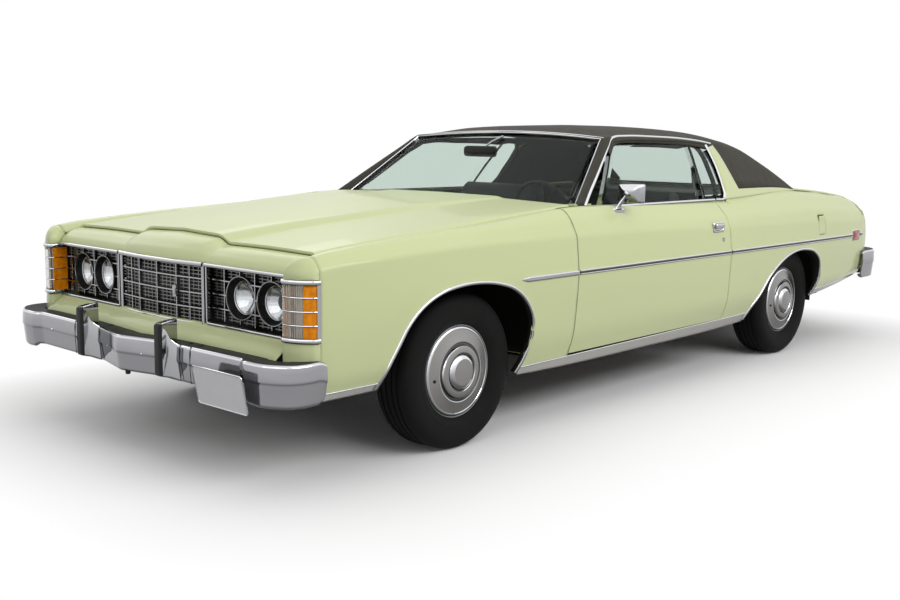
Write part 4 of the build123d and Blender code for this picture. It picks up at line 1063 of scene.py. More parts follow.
# %% Headlamps
share = np.linspace(0, 1, 13)
bowl = np.stack([np.maximum(65 * np.sqrt(share), 0.02), -58 + 33 * share], axis=1)
arc = np.linspace(0, 1, 9)
dome = np.stack([np.maximum(65.5 * np.sin(arc * math.pi / 2), 0.02), -21 + 8 * np.cos(arc * math.pi / 2)], axis=1)
lens = np.concatenate([dome, dome[::-1] * [0.985, 1] - [0, 3]])
# Each turned part: its group, profile, finish, crease angle and whether the profile closes on itself.
lamp_parts = (
    ("cones", [(82, 6), (86.5, 7), (88, 0), (88, -30), (65, -32), (65, -27), (73, -25), (81, 0)], black_paint, 40,
     True),
    ("rings", [(84, 6), (85, 9.5), (87, 9.5), (88.5, 5), (88, 2), (84, 2)], chrome_dull, 40, True),
    ("rings", [(65, -26), (66, -20), (68.5, -18), (71, -20), (72, -26)], chrome_dull, 40, True),
    ("bowls", bowl, reflector, None, False),
    ("lenses", lens, lamp_glass, 60, False),
)
lamp_groups = {"cones": [], "rings": [], "bowls": [], "lenses": []}
for side in (1, -1):
    for x, s, z in lamp_places:
        for group, profile, material, crease, closes in lamp_parts:
            lamp_groups[group].append(turned("lamp", profile, (side * x, s, z), (side * 0.05, -1, 0), material,
                                             crease=crease, closed_profile=closes))
for group, parts in lamp_groups.items():
    headlamp_glass = joined("headlamp_" + group, parts)
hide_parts("headlamps")

# %% [markdown]
# ## Corner lamps
# A clear ribbed lens wraps the corner and turns amber on the side. Heavy plated caps close it above and
# below, and three thin ribs cross it.

# %% Corner lamps
corner_path = resample(rounded(lamp_plan[:6], np.array([16, 18, 18, 14]), 8), 140)
split = int(np.argmin(np.abs(corner_path[:, 0] - 936)))
lamp_levels = np.linspace(600, 807, 12)
rib_pitch = 11.0


def offset_plan(plan, distance):
    """The plan line moved outwards, square to itself."""
    tangent = unit(np.gradient(plan, axis=0))
    return plan + np.stack([-tangent[:, 1], tangent[:, 0]], axis=1) * distance


def lens_grid(plan, inset, ribs):
    """The lens is `inset` behind the plan line; its upright ribs are the size of a sine along the line."""
    wave = ribs * np.abs(np.sin(distance_along(plan) / rib_pitch * math.pi))
    moved = plan + (offset_plan(plan, 1) - plan) * (wave - inset)[:, None]
    return xyz(moved[:, :1], moved[:, 1:], lamp_levels)


both_sides("amber_lens", lens_grid(corner_path[4:split + 2], 4, 0.0), amber, wall=3)
clear_pieces = both_sides("clear_lens", lens_grid(corner_path[split:], 2, 1.6), lamp_glass, wall=3)
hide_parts("turn_lamps")
lamp_back = finish("lamp_back", srgb(196, 190, 176), 0.55)
fin_x = np.linspace(852, 926, 10)
fin_s = np.interp(fin_x, [854, 892, 932], [-925, -919, -902])
for side, word in sides:
    for name, (x0, x1), (s0, s1), (z0, z1), material in (
            ("amber_side", (839.0, 844.0), (-913.0, -844.0), (602.0, 805.0), amber),
            ("lamp_back", (845.0, 930.0), (-870.0, -866.0), (602.0, 806.0), lamp_back),
            ("lamp_side_frame", (836.0, 843.0), (-844.0, -812.0), (596.0, 812.0), black_paint)):
        box_between(f"{name}_{word}", (side * x0, s0, z0), (side * x1, s1, z1), material)
    joined("lamp_fins_" + word, [
        box_between("fin", (side * x - 0.9, s, 602.0), (side * x + 0.9, s + 3.0, 805.0), lamp_back)
        for x, s in zip(fin_x, fin_s)])
cap_profile = rounded_box_loop(-9, 7, -9, 9, 6, 4)
inner_side = resample([(841, -915), (839, -838)], 40)
cap_path = np.concatenate([corner_path[::3], inner_side[3::6]])
for side, word in sides:
    trims = [sweep("cap", xyz(*(cap_path * [side, 1]).T, z), cap_profile * [side, 1], chrome) for z in (812, 595)]
    rib_path = offset_plan(cap_path, 0.8) * [side, 1]
    trims += [sweep("rib", xyz(*rib_path.T, z), disc_profile(2.6, 8), chrome) for z in (652, 704, 756)]
    upright = [(side * 970, -856, z) for z in (590, 700, 818)]
    trims.append(sweep("upright", upright, box_loop(7, 8, 4, 4), chrome, up=(0, -1, 0)))
    joined(f"corner_lamp_trim_{word}", trims)
print("corner lamp line", len(corner_path), "points, amber up to", split)

# %% [markdown]
# ## Roof and pillars
# The roof, its shoulders and the broad rear pillars are one surface. A half section has eight corners: the
# belt, the lower edge of the vinyl, two on the pillar's side, the shoulder, and three over the top. It is
# swept from the windshield's upper edge to the deck; the painted strip behind the window is cut from it.

# %% Roof sections
roof_stations = np.array([1402, 1560, 1800, 2300, 2560, 2690, 2850, 3020, 3251, 3412])
roof_half = np.array([
    [(885, 1000), (859, 1053), (800, 1152), (738, 1249), (676, 1336), (520, 1344), (300, 1356), (0, 1362)],
    [(885, 1000), (859, 1053), (800, 1152), (738, 1249), (657, 1350), (520, 1374), (300, 1386), (0, 1391)],
    [(885, 1000), (859, 1053), (800, 1152), (738, 1249), (656, 1351), (520, 1386), (300, 1399), (0, 1404)],
    [(885, 1001), (859, 1053), (800, 1152), (738, 1249), (670, 1338), (520, 1380), (300, 1395), (0, 1401)],
    [(876, 1006), (856, 1053), (800, 1150), (738, 1244), (682, 1318), (522, 1362), (300, 1379), (0, 1386)],
    [(862, 1010), (845, 1052), (796, 1138), (738, 1226), (680, 1300), (530, 1344), (300, 1360), (0, 1366)],
    [(845, 1013), (832, 1050), (790, 1118), (744, 1190), (690, 1262), (556, 1314), (300, 1327), (0, 1331)],
    [(822, 1016), (813, 1046), (786, 1092), (752, 1148), (712, 1200), (590, 1235), (300, 1240), (0, 1242)],
    [(793, 1017), (788, 1034), (776, 1051), (760, 1078), (742, 1102), (610, 1132), (300, 1138), (0, 1140)],
    [(774, 1017), (773, 1019), (772, 1020), (770, 1021), (767, 1022), (622, 1026), (300, 1029), (0, 1031)],
], float)
roof_reach = np.array([90, 70, 30, 110, 120])
paint_columns = 4
shoulder_column = paint_columns + 1 + 2 * arc_samples
sail_edge_column = shoulder_column + 2 * arc_samples - 2
shield_angle = math.radians(37.5)
windshield_lean = math.tan(shield_angle)


def roof_section(s):
    """Half sections (..., column, 2): evenly up to the vinyl's edge, then the rounded corners."""
    corners = through_stations(roof_stations, roof_half, s)
    share = np.linspace(0, 1, paint_columns, endpoint=False)[:, None]
    foot = corners[..., :1, :] * (1 - share) + corners[..., 1:2, :] * share
    return np.concatenate([foot, rounded(corners[..., 1:, :], roof_reach, arc_samples)], axis=-2)


def on_windshield(x, s):
    """Points of the windshield's plane at (x, station)."""
    x, s = np.broadcast_arrays(np.asarray(x, float), np.asarray(s, float))
    return np.stack([x, s, 1185.5 + (s - 1172) * windshield_lean], axis=-1)


def header_station(x):
    """The windshield's upper edge is a shallow arc."""
    return 1402 - 38 * (np.abs(x) / 660)**2


def roof_points(stations):
    """Points (row, column, 3) from an array of stations (row, column)."""
    each = np.arange(stations.shape[1])
    picked = np.stack([roof_section(line)[each, each] for line in stations])
    return xyz(picked[..., 0], stations, picked[..., 1])


edge_z = roof_section(2400.0)[:, 1]
columns_all = len(edge_z)
window_edge = np.interp(edge_z, [1003, 1030, 1065, 1130, 1190, 1245, 1305],
                        [2296, 2322, 2341, 2359, 2376, 2382, 2383])
vinyl_edge = np.interp(edge_z, [1053, 1101, 1163, 1243, 1309], [2497, 2490, 2481, 2472, 2457])
window_edge[shoulder_column:] = vinyl_edge[shoulder_column:] = 2457
window_edge[:shoulder_column] = np.minimum(window_edge[:shoulder_column], 2383)
middle = np.full(columns_all, 2850.0)


def between(first, last, rows):
    """Rows that pass evenly from one line of stations to another."""
    share = np.linspace(0, 1, rows)[:, None]
    return first[None, :] * (1 - share) + last[None, :] * share


front_rows = np.repeat(np.concatenate([np.linspace(1402, 1560, 9), np.linspace(1600, 2457, 22)])[:, None],
                       columns_all, axis=1)
front_roof = roof_points(front_rows)
pull = np.clip((1560 - front_rows) / 158, 0, 1)
front_roof[..., 1] -= pull * (1402 - header_station(front_roof[..., 0]))
front_roof = front_roof[:, shoulder_column:]
strip_points = roof_points(between(window_edge, vinyl_edge, 5))[:, :shoulder_column + 1]
side_points = roof_points(between(vinyl_edge, middle, 22))
sail_points = roof_points(between(middle, np.full(columns_all, 3412.0), 26))[:, :sail_edge_column + 1]


def mirrored_columns(grid):
    """Columns from the edge to the middle line, continued to the other edge."""
    return np.concatenate([grid, other_side(grid)[:, -2::-1]], axis=1)


def sheet_of(name, grids, material, crease=40, wall=8.0):
    """One open sheet from several grids that share their edges, thickened."""
    vertices, faces, first = [], [], 0
    for grid, flip in grids:
        rows, columns = grid.shape[:2]
        quads = grid_faces(rows, columns) + first
        faces += (quads[:, ::-1] if flip else quads).tolist()
        vertices.append(grid.reshape(-1, 3))
        first += rows * columns
    obj = clean(piece_from(name, np.concatenate(vertices), faces, material), 2e-4, outwards=False)
    obj.data.set_sharp_from_angle(angle=math.radians(crease))
    return thicken(obj, wall)


def paired(grid):
    """The grid and its mirror image, with matching face directions."""
    return [(grid, True), (other_side(grid), False)]


vinyl_grids = [(mirrored_columns(front_roof), True), *paired(side_points[:, paint_columns:shoulder_column + 1]),
               (mirrored_columns(side_points[:, shoulder_column:]), True),
               *paired(sail_points[:, paint_columns:])]
roof_vinyl = sheet_of("roof_vinyl", vinyl_grids, vinyl_top)
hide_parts("roof")
paint_grids = [*paired(strip_points), *paired(side_points[:, :paint_columns + 1]),
               *paired(sail_points[:, :paint_columns + 1])]
sheet_of("roof_painted_sides", paint_grids, paint)
print("roof", front_roof.shape, side_points.shape, sail_points.shape)

# %% The hollow fillet between belt and pillar
fillet_s = np.linspace(2314, 3392, 56)
foot = roof_section(fillet_s)[:, [0, 2]]
belt = np.array([[np.interp(fillet_s, quarter_grid[:, c, 1], quarter_grid[:, c, k]) for k in (0, 2)]
                 for c in range(-14, 0)])


def on_quarter(x):
    """Points of the quarter panel's top at each fillet station."""
    return np.stack([x, [np.interp(-a, -belt[:, 0, k], belt[:, 1, k]) for k, a in enumerate(x)]], axis=1)


outer_foot = on_quarter(foot[:, 0, 0] + np.interp(fillet_s, [2310, 2700, 3390], [13, 24, 30]))
inner_foot = on_quarter(foot[:, 0, 0] + np.interp(fillet_s, [2310, 2800, 3000], [5, 3, 0]))
t = np.concatenate([[0, 0.02], np.linspace(0.1, 0.9, 9), [0.98, 1]])[:, None, None]
fillet = foot[:, 1] * (1 - t)**2 + inner_foot * 2 * t * (1 - t) + outer_foot * t**2 + [0.5, 0.4]
both_sides("belt_fillet", xyz(fillet[..., 0], fillet_s, fillet[..., 1]), paint, wall=2.5)
print("fillet", fillet.shape)


# %% Lining under the roof
def lining(grid, drop=24.0, inwards=26.0):
    """The same surface moved in and down for the trim inside."""
    moved = grid.copy()
    moved[..., 0] -= np.sign(grid[..., 0]) * inwards * np.clip(np.abs(grid[..., 0]) / 600, 0, 1)
    moved[..., 2] -= drop * np.clip((grid[..., 2] - 1010) / 300, 0, 1)
    return moved


whole_roof = [(mirrored_columns(front_roof), True), *paired(strip_points),
              *paired(side_points[:, :shoulder_column + 1]),
              (mirrored_columns(side_points[:, shoulder_column:]), True), *paired(sail_points)]
sheet_of("roof_lining", [(lining(grid), flip) for grid, flip in whole_roof], headliner, wall=5)

# %% Front pillars
shield_foot, shield_head = np.array([816, 944, 1011.0]), np.array([664, 1366, 1334.0])
drip_line = np.array([(881, 924, 1012), (846, 1010, 1072), (808, 1111, 1139), (747, 1261, 1235), (705, 1360, 1296),
                      (683, 1412, 1330), (663, 1480, 1345), (656, 1590, 1350), (657, 1859, 1348), (670, 2163, 1338),
                      (684, 2364, 1322), (692, 2440, 1312)], float)
drip_curve = smooth_path(drip_line, 70)
reach_share = np.linspace(0, 1, 26)[:, None]
inner_edge = shield_foot * (1 - reach_share) + shield_head * reach_share
outer_edge = resample(drip_curve[drip_curve[:, 1] < 1480], 26)
bow = np.sin(np.linspace(0, math.pi, 9))[None, :, None] * np.array([10.0, -10.0, 2.0])
width_share = np.linspace(0, 1, 9)[None, :, None]
pillar_grid = inner_edge[:, None] * (1 - width_share) + outer_edge[:, None] * width_share + bow
both_sides("front_pillar", pillar_grid, vinyl_top, wall=10)
both_sides("front_pillar_lining", lining(pillar_grid, 14, 26) + [0, 26, -14], trim_vinyl, wall=4)
gutter_steps = [(0, 0, -4), (12, 0, -17), (22, 0, -30), (4, 0, -34)]
both_sides("roof_rail", np.stack([drip_curve[22:] + step for step in gutter_steps], axis=1), vinyl_top, wall=4)
seal_line = smooth_path([
    (846, 968, 1012), (800, 1068, 1085), (756, 1180, 1160), (704, 1310, 1250), (672, 1392, 1296), (655, 1450, 1306),
    (655, 1700, 1308), (662, 2100, 1298), (680, 2330, 1280), (700, 2352, 1240), (742, 2345, 1170), (800, 2318, 1080),
    (838, 2280, 1016)], 90)
pair_of(sweep, "window_seal", seal_line, box_loop(9, 12, 5, 4), rubber, up=(0.6, 0, 0.8))
print("front pillar grid", pillar_grid.shape)

# %% [markdown]
# ## Bright mouldings
# Thin plated strips edge every opening: round the windshield, along the gutter and the belt, behind the quarter
# window and under the vinyl. Each is a small profile carried along a curve.


# %% Mouldings on the cabin
def moulding(name, path, width, height, up, material=chrome, body="root"):
    """A half-round strip; `up` points away from the surface it lies on."""
    return sweep(name, path, bead_profile(width, height), material, body, up=up)


arc_x = np.linspace(664, -664, 41)
arc_path = on_windshield(arc_x, header_station(arc_x) + 6)
left_edge = inner_edge[:-1]
shield_path = np.concatenate([left_edge, arc_path, other_side(left_edge)[::-1]])
shield_normal = np.array([0, -math.sin(shield_angle), math.cos(shield_angle)])
twin = np.array([(11, -3), (11, 3), (8.5, 6), (5, 6), (2.5, 3), (0.5, 2.5), (-1.5, 3), (-4, 6.5), (-8.5, 6.5),
                 (-11, 3), (-11, -3)], float)
sweep("windshield_moulding", shield_path, twin, chrome, up=shield_normal)
base_x = np.linspace(806, -806, 41)
base_path = np.stack([base_x, 946 + 0 * base_x, 1016 - 4 * (base_x / 806)**2], axis=1)
moulding("windshield_base_strip", base_path, 12, 4, (0, -0.5, 0.85), chrome_dull)
pair_of(moulding, "gutter_moulding", drip_curve + [1, 0, 2], 17, 9, up=(0.6, 0, 0.8))
back_chrome = smooth_path([(698, 2383, 1308), (741, 2382, 1245), (776, 2376, 1190), (814, 2359, 1130),
                           (851, 2341, 1065), (873, 2322, 1031), (884, 2298, 1008)], 40)
pair_of(moulding, "quarter_window_moulding", back_chrome, 22, 6, up=(0.85, 0, 0.5))
vinyl_front = strip_points[-1, paint_columns:shoulder_column + 1]
pair_of(moulding, "vinyl_front_moulding", vinyl_front, 9, 4, up=(0.85, 0, 0.5))
vinyl_low = np.concatenate([side_points[:, paint_columns], sail_points[1:, paint_columns]])
pair_of(moulding, "vinyl_lower_moulding", vinyl_low, 10, 4, up=(0.9, 0, 0.4))

# %% [markdown]
# ## Glass
# The windshield and rear glass are flat sheets in the pillars' plane; the side glass follows the cabin's
# curve, twelve millimetres in. The door's glass ends along the slanting edge of the quarter glass.

# %% Windshield and rear glass
shield_x = np.linspace(-1, 1, 25)[None, :]
shield_share = np.linspace(0, 1, 15)[:, None]
half_width = 822 * (1 - shield_share) + 660 * shield_share
foot_station = 905.0
top_station = header_station(shield_x * 655)
shield_s = foot_station + (top_station - foot_station) * shield_share
shield_grid = on_windshield(shield_x * half_width, shield_s) - shield_normal * 5
windshield_glass = surface("windshield_glass", shield_grid, glass_sheet, wall=5)
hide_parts("windshield")


def cabin_x(z, s):
    """The cabin's outer side at a height and station."""
    side = np.interp(z, [960, 1000, 1052, 1152, 1250, 1330, 1352], [905, 885, 860, 800, 737, 682, 655])
    return np.minimum(side, 900 - 125 * np.clip(np.asarray(s) - 2380, 0, None) / 1060)


def side_glass(front_edge, rear_edge, low, high, inset=13.0):
    """Side glass between two edges given as (z, station) pairs."""
    z = np.linspace(low, high, 18)
    first = np.interp(z, *np.transpose(front_edge))
    last = np.interp(z, *np.transpose(rear_edge))
    share = np.linspace(0, 1, 14)
    s = first[:, None] * (1 - share) + last[:, None] * share
    return xyz(cabin_x(z[:, None], s) - inset, s, z[:, None])


front_glass_edge = [(975, 996), (1312, 1394)]
divider_edge = [(975, 2064), (1077, 2100), (1143, 2122), (1228, 2157), (1312, 2190)]
quarter_front_edge = [(z, s + 9) for z, s in divider_edge]
quarter_back_edge = [(975, 2310), (1005, 2330), (1065, 2352), (1190, 2382), (1312, 2392)]
door_glass_grid = side_glass(front_glass_edge, divider_edge, 980, 1316)
quarter_glass_grid = side_glass(quarter_front_edge, quarter_back_edge, 1015, 1316)
door_panes = both_sides("door_window", door_glass_grid, glass_sheet, bodies=door_bodies, wall=4.5)
for obj, node in zip(door_panes, ("door_glass_left", "door_glass_right")):
    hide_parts(node)
quarter_panes = both_sides("quarter_window", quarter_glass_grid, glass_sheet, wall=4.5)
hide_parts("quarter_glass")
pair_of(sweep, "quarter_window_edge", quarter_glass_grid[:, 0] + [0, 9, 0], box_loop(9, 4, 2.5, 3), chrome_dull,
        up=(0.85, 0, 0.5))
back_normal = np.array([0, 304.0, 495.0]) / math.hypot(304, 495)
back_foot, back_head = (628, 3340, 1037), (566, 2862, 1327)
back_arch = 17  # how far the glass sinks towards its upper corners


def back_point(u, v):
    """u runs across from -1 to 1, v from the foot (0) to the head (1) of the rear glass."""
    half = back_foot[0] * (1 - v) + back_head[0] * v
    s = back_foot[1] + (back_head[1] - back_foot[1]) * v
    return xyz(u * half, s, back_foot[2] + (back_head[2] - back_foot[2]) * v - back_arch * u**2 * v)


back_u, back_v = np.meshgrid(np.linspace(-1, 1, 13), np.linspace(-0.03, 1.03, 9))
back_glass = surface("rear_glass", back_point(back_u, back_v) - back_normal * 9, glass_sheet, wall=5)
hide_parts("backlight")
back_loop = rounded_loop([(-1, 0), (1, 0), (1, 1), (-1, 1)], 0.09, 6)
sweep("rear_glass_moulding", back_point(back_loop[:, 0], back_loop[:, 1]), twin * [1.2, 0.9], chrome, up=back_normal,
      closed=True)

# %% [markdown]
# ## Deck, trunk lid and tail
# The lid is built like the header: columns across the car, and along each the corners of its side view, from
# the lip beside the glass over the crown to the skirt above the tail panel.

# %% Deck and trunk lid
lid_x = np.array([779.0, 640, 500, 350, 180, 0])
lid_lines = np.array([
    [(3412, 1000), (3412, 1016), (3700, 995), (4000, 965), (4230, 933), (4240, 862)],
    [(3412, 1006), (3412, 1022), (3700, 1004), (4000, 975), (4231, 941), (4240, 862)],
    [(3412, 1010), (3412, 1026), (3700, 1010), (4000, 982), (4231, 946), (4240, 862)],
    [(3412, 1013), (3412, 1029), (3700, 1014), (4000, 987), (4232, 951), (4240, 862)],
    [(3412, 1015), (3412, 1031), (3700, 1017), (4000, 991), (4232, 954), (4240, 862)],
    [(3412, 1016), (3412, 1032), (3700, 1018), (4000, 992), (4232, 955), (4240, 862)],
], float)
lid_columns = np.linspace(0, 779, 27)
lid_curves = rounded(through_stations(lid_x[::-1], lid_lines[::-1], lid_columns), np.array([5, 160, 160, 26]), 10)
lid_half_grid = xyz(lid_columns[:, None], lid_curves[..., 0], lid_curves[..., 1])[::-1]
trunk_grid = np.concatenate([lid_half_grid, other_side(lid_half_grid)[-2::-1]], axis=0)
trunk = surface("trunk_lid_skin", trunk_grid, paint, "trunk_lid", wall=14, crease=50)
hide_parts("trunk_lid")
deck_x = np.linspace(-793, 793, 41)
deck_rear_z = 1031 - 14 * (np.abs(deck_x) / 775)**2
deck_steps = ((3338, -4), (3352, 0), (3375, -1), (3382, -4), (3384, -12), (3383, -30), (3378, -60))
deck_grid = np.stack([xyz(deck_x, s, deck_rear_z + drop) for s, drop in deck_steps])
deck = surface("rear_deck_skin", deck_grid, paint, wall=6, flip=True, crease=40)
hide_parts("rear_deck")
gutter_s = np.linspace(3390, 4180, 20)[:, None]
gutter_z = np.array([1000, 975, 968]) - np.maximum(0, gutter_s - 3700) * 0.13
both_sides("trunk_gutter", xyz([786, 779, 735], gutter_s, gutter_z), paint, wall=5)
print("trunk lid grid", trunk_grid.shape)

# %% Tail panel, lamps and plate
tail_plan = np.array([(955, 4190), (930, 4205), (700, 4262), (0, 4288)], float)
tail_line = resample(mirrored_rows(rounded(tail_plan, np.array([16, 90]), 6)), 90)
tail_levels = np.array([(565, -90), (585, -60), (592, -8), (602, 0), (640, 2), (770, 0), (838, -2), (850, -7),
                        (852, -20)], float)
narrow = np.clip((tail_levels[:, 0] - 780) / 72, 0, 1)**2 * 0.022
tail_grid = xyz(tail_line[:, :1] * (1 - narrow), tail_line[:, 1:] + tail_levels[:, 1], tail_levels[:, 0])
tail = surface("tail_panel_skin", tail_grid, paint, wall=4, crease=40)
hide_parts("tail_panel")


def tail_station(x):
    """The station of the tail panel at a distance from the middle."""
    order = np.argsort(tail_plan[:, 0])
    return np.interp(np.abs(x), tail_plan[order, 0], tail_plan[order, 1])


def on_tail(loop, out):
    """A loop of (x, z) laid on the tail panel's face, `out` behind it."""
    return xyz(loop[:, 0], tail_station(loop[:, 0]) + out, loop[:, 1])


crown = flank_section(np.array([4188.0]))[0]
crown = crown[crown[:, 1] > 853]
behind = tail_station(crown[:, 0])
corner_lines = np.stack([np.column_stack([np.full(len(crown), 4186.0), crown[:, 1]]),
                         np.column_stack([behind - 8, np.maximum(crown[:, 1] - 6, 853)]),
                         np.column_stack([behind - 3, np.full(len(crown), 850.0)])], axis=1)
corner_curves = rounded(corner_lines, np.array([14]), 6)
both_sides("tail_corner", xyz(crown[:, :1], corner_curves[..., 0], corner_curves[..., 1]), paint, wall=4)
lamp_frames, lamp_lenses, lamp_lines = [], [], []
for side, word in sides:
    loop = rounded_loop([(side * 560, 640), (side * 900, 640), (side * 900, 770), (side * 560, 770)], 14, 6)
    loop = np.concatenate([resample(part, 14)[:-1] for part in np.stack([loop, np.roll(loop, -1, 0)], axis=1)])
    lamp_middle = np.array([side * 730, 705.0])
    rings = [on_tail(lamp_middle + (loop - lamp_middle) * k, out)
             for k, out in ((0.94, 12), (0.90, 15), (0.5, 17), (0.05, 17))]
    lamp_lenses.append(stack_of_loops("tail_lens", [on_tail(loop, 2), *rings], red_lens))
    lamp_frames.append(sweep("tail_frame", on_tail(loop, 6), box_loop(6, 8, 3, 3), chrome, up=(0, 1, 0.001),
                             closed=True))
    x_run = np.linspace(side * 570, side * 890, 12)
    lamp_lines += [sweep("tail_bar", xyz(x_run, tail_station(x_run) + 16, z), disc_profile(2.6, 8), chrome)
                   for z in (672, 705, 738)]
tail_lamps = joined("tail_lamp_lenses", lamp_lenses)
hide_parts("tail_lamps")
joined("tail_lamp_frames", lamp_frames + lamp_lines)
x_run = np.linspace(-900, 900, 41)
joined("tail_panel_strips", [moulding("tail_strip", xyz(x_run, tail_station(x_run) + 1, z), 10, 5, (0, 1, 0.001))
                             for z in (618, 800)])


# %% Plates
def plate(name, centre, lean, facing):
    """A blank pressed plate with rounded corners and a raised rim; it faces along s by `facing`."""
    loops = []
    for across, tall, out in ((1, 1, -1.5), (1, 1, 1.5), (0.9825, 0.965, 3.2), (0.97, 0.94, 1.4), (0.5, 0.5, 1.4),
                              (0.02, 0.02, 1.4)):
        loop = box_loop(150, 75, 12, 5) * [across, tall]
        loops.append(xyz(centre[0] + loop[:, 0], centre[1] + (facing * out + loop[:, 1] * math.sin(lean)),
                         centre[2] + loop[:, 1] * math.cos(lean)))
    return stack_of_loops(name, loops, plate_blank)


rear_plate = plate("rear_plate_blank", (0, 4294, 690), 0.0, 1)
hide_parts("plates")
plate_at = (684, -1092, 403)
plate("front_plate_blank", plate_at, plate_lean, -1)
rim = box_loop(151, 76, 13, 6)
rim_path = xyz(plate_at[0] + rim[:, 0], plate_at[1] + rim[:, 1] * math.sin(plate_lean) - 2,
               plate_at[2] + rim[:, 1] * math.cos(plate_lean))
sweep("front_plate_rim", rim_path, disc_profile(2.6, 8), chrome, up=(0, -1, 0), closed=True)

# %% [markdown]
# ## Body trim
# A bright strip with a dark insert runs along the widest line of the flank; plated lips edge the wheel
# openings, and a broad brushed moulding covers the sill.


# %% Side strip
def strip_line(first, last, count):
    """The strip's middle line on the flank; it falls 18 mm over its length."""
    s = np.linspace(first, last, count)
    z = 723 - 18 * (s - 298) / 3813
    return xyz(flank_x(s, z) + 0.5, s, z)


front_strip = strip_line(298, 718, 30)
tip = np.clip((front_strip[:, 1] - 297) / 46, 0.04, 1)**0.7
half_trim = np.array([(12, -1), (11.5, 3.5), (8, 7), (4.5, 6.5), (3.2, 4.5)])
trim_profile = np.concatenate([half_trim, half_trim[::-1] * [-1, 1]])
solid_profile = [(12, -1), (11, 4), (6, 8), (-6, 8), (-11, 4), (-12, -1)]
pair_of(sweep, "side_strip_fender", front_strip, solid_profile, chrome, up=(1, 0, 0), scale=tip)
for part, first, last, count in (("door", 731, 2184, 60), ("quarter", 2197, 3914, 60), ("tail", 4060, 4112, 4)):
    line, moves = strip_line(first, last, count), part == "door"
    pair_of(sweep, "side_strip_" + part, line, trim_profile, chrome, up=(1, 0, 0), on_doors=moves)
    pair_of(sweep, "side_insert_" + part, line + [3.2, 0, 0], bead_profile(7.0, 2.4), black_paint, up=(1, 0, 0),
            on_doors=moves)
print("side strip from", front_strip[0, 1], "to", last)


# %% Sill mouldings and wheel lips
def skin_band(name, s, low, high):
    """A band that lies three millimetres proud of the flank between two heights."""
    z = low[:, None] * (1 - band_share) + high[:, None] * band_share
    both_sides(name + "_moulding", xyz(flank_x(s[:, None] + 0 * z, z) + 3.0, s[:, None], z), sill_bright, wall=3.0)


band_share = np.linspace(0, 1, 6)[None, :]
sill_bright = finish("brushed_sill", (0.46, 0.45, 0.43), 0.34, 0.85, second=(0.40, 0.39, 0.37), patch_size=0.1)
sill_s, front_s, rear_s = np.linspace(366, 2492, 70), np.linspace(-836, -532, 16), np.linspace(3402, 4112, 36)
sill_top = np.interp(sill_s, [366, 2492], [313, 326])
rear_top = sill_line(rear_s) + np.interp(rear_s, [3402, 4112], [46, 10])
skin_band("sill", sill_s, sill_line(sill_s) - 1, sill_top)
skin_band("front_sill", front_s, sill_line(front_s) - 1, sill_line(front_s) + 27)
skin_band("rear_sill", rear_s, sill_line(rear_s) - 1, rear_top)
for name, s, z in (("front_sill_bead", front_s, sill_line(front_s) + 30), ("sill_bead", sill_s, sill_top),
                   ("rear_sill_bead", rear_s, rear_top)):
    pair_of(moulding, name, xyz(flank_x(s, z) + 3, s, z), 8, 4, up=(1, 0, 0))
for name, grid in (("front_wheel_lip", fender_grid), ("rear_wheel_lip", quarter_grid)):
    pair_of(moulding, name, grid[over_wheel, 0] + [1.0, 0, 0], 16, 6, up=(1, 0, 0))


# %% Side markers, fuel door, door handles
def side_loop(centre_s, centre_z, length, height, reach, out, side=1):
    """A rounded rectangle on the flank, `out` proud of the surface."""
    loop = box_loop(length / 2, height / 2, reach, 5)
    s, z = centre_s + loop[:, 0], centre_z + loop[:, 1]
    return xyz(side * (flank_x(s, z) + out), s, z)


def side_stack(name, centre, rings, side, material, body="root", caps=True):
    """A piece on the flank from rings of (length, height, corner, how far out)."""
    return stack_of_loops(name, [side_loop(*centre, *ring, side) for ring in rings], material, body, caps=caps)


marker_rings = ((124, 60, 6, -6), (124, 60, 6, 5), (112, 50, 5, 8), (8, 4, 1, 8.5))
rim_rings = ((138, 74, 9, -4), (136, 72, 9, 3), (128, 64, 7, 4), (122, 58, 6, -5))
joined("side_marker_lenses", [side_stack("marker", (3988, 706), marker_rings, side, red_lens) for side in (1, -1)])
joined("side_marker_rims", [side_stack("rim", (3988, 706), rim_rings, side, chrome, caps=False) for side in (1, -1)])


def cut(obj, cutter):
    """Cuts a closed shape out of a piece and bakes the piece's modifiers."""
    made = obj.modifiers.new("cut", "BOOLEAN")
    made.operation, made.solver, made.object = "DIFFERENCE", "EXACT", cutter
    baked = bpy.data.meshes.new_from_object(obj.evaluated_get(bpy.context.evaluated_depsgraph_get()))
    obj.modifiers.clear()
    obj.data = baked
    obj.data.name = obj.name
    bpy.data.objects.remove(cutter, do_unlink=True)


hole_loop = rounded_box_loop(3366, 3463, 741, 866, 11)
cut(quarters[0], stack_of_loops("cutter", [xyz(x, *hole_loop.T) for x in (900, 1040)], paint))
fuel_s, fuel_z = np.meshgrid(np.linspace(3369.5, 3459.5, 12), np.linspace(744.5, 862.5, 12), indexing="ij")
fuel_x = flank_x(fuel_s, fuel_z)
fuel_cover = surface("fuel_door_skin", xyz(fuel_x, fuel_s, fuel_z), paint, "fuel_door", wall=7)
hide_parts("fuel_door")
pocket = xyz(fuel_x - 66, fuel_s + (fuel_s - 3414) * 0.12, fuel_z + (fuel_z - 803) * 0.1)
surface("fuel_pocket", pocket, black_paint, wall=3)
turned("fuel_cap", [(0.02, 8), (12, 8), (22, 6), (26, 0), (26, -14)], (920, 3422, 800), (1, 0, 0), black_paint,
       count=32)
handle_rings = ((118, 56, 12, -5), (118, 56, 12, 2), (112, 50, 10, 5), (96, 34, 8, 5.5), (90, 30, 8, 1),
                (10, 6, 2, 0.5))
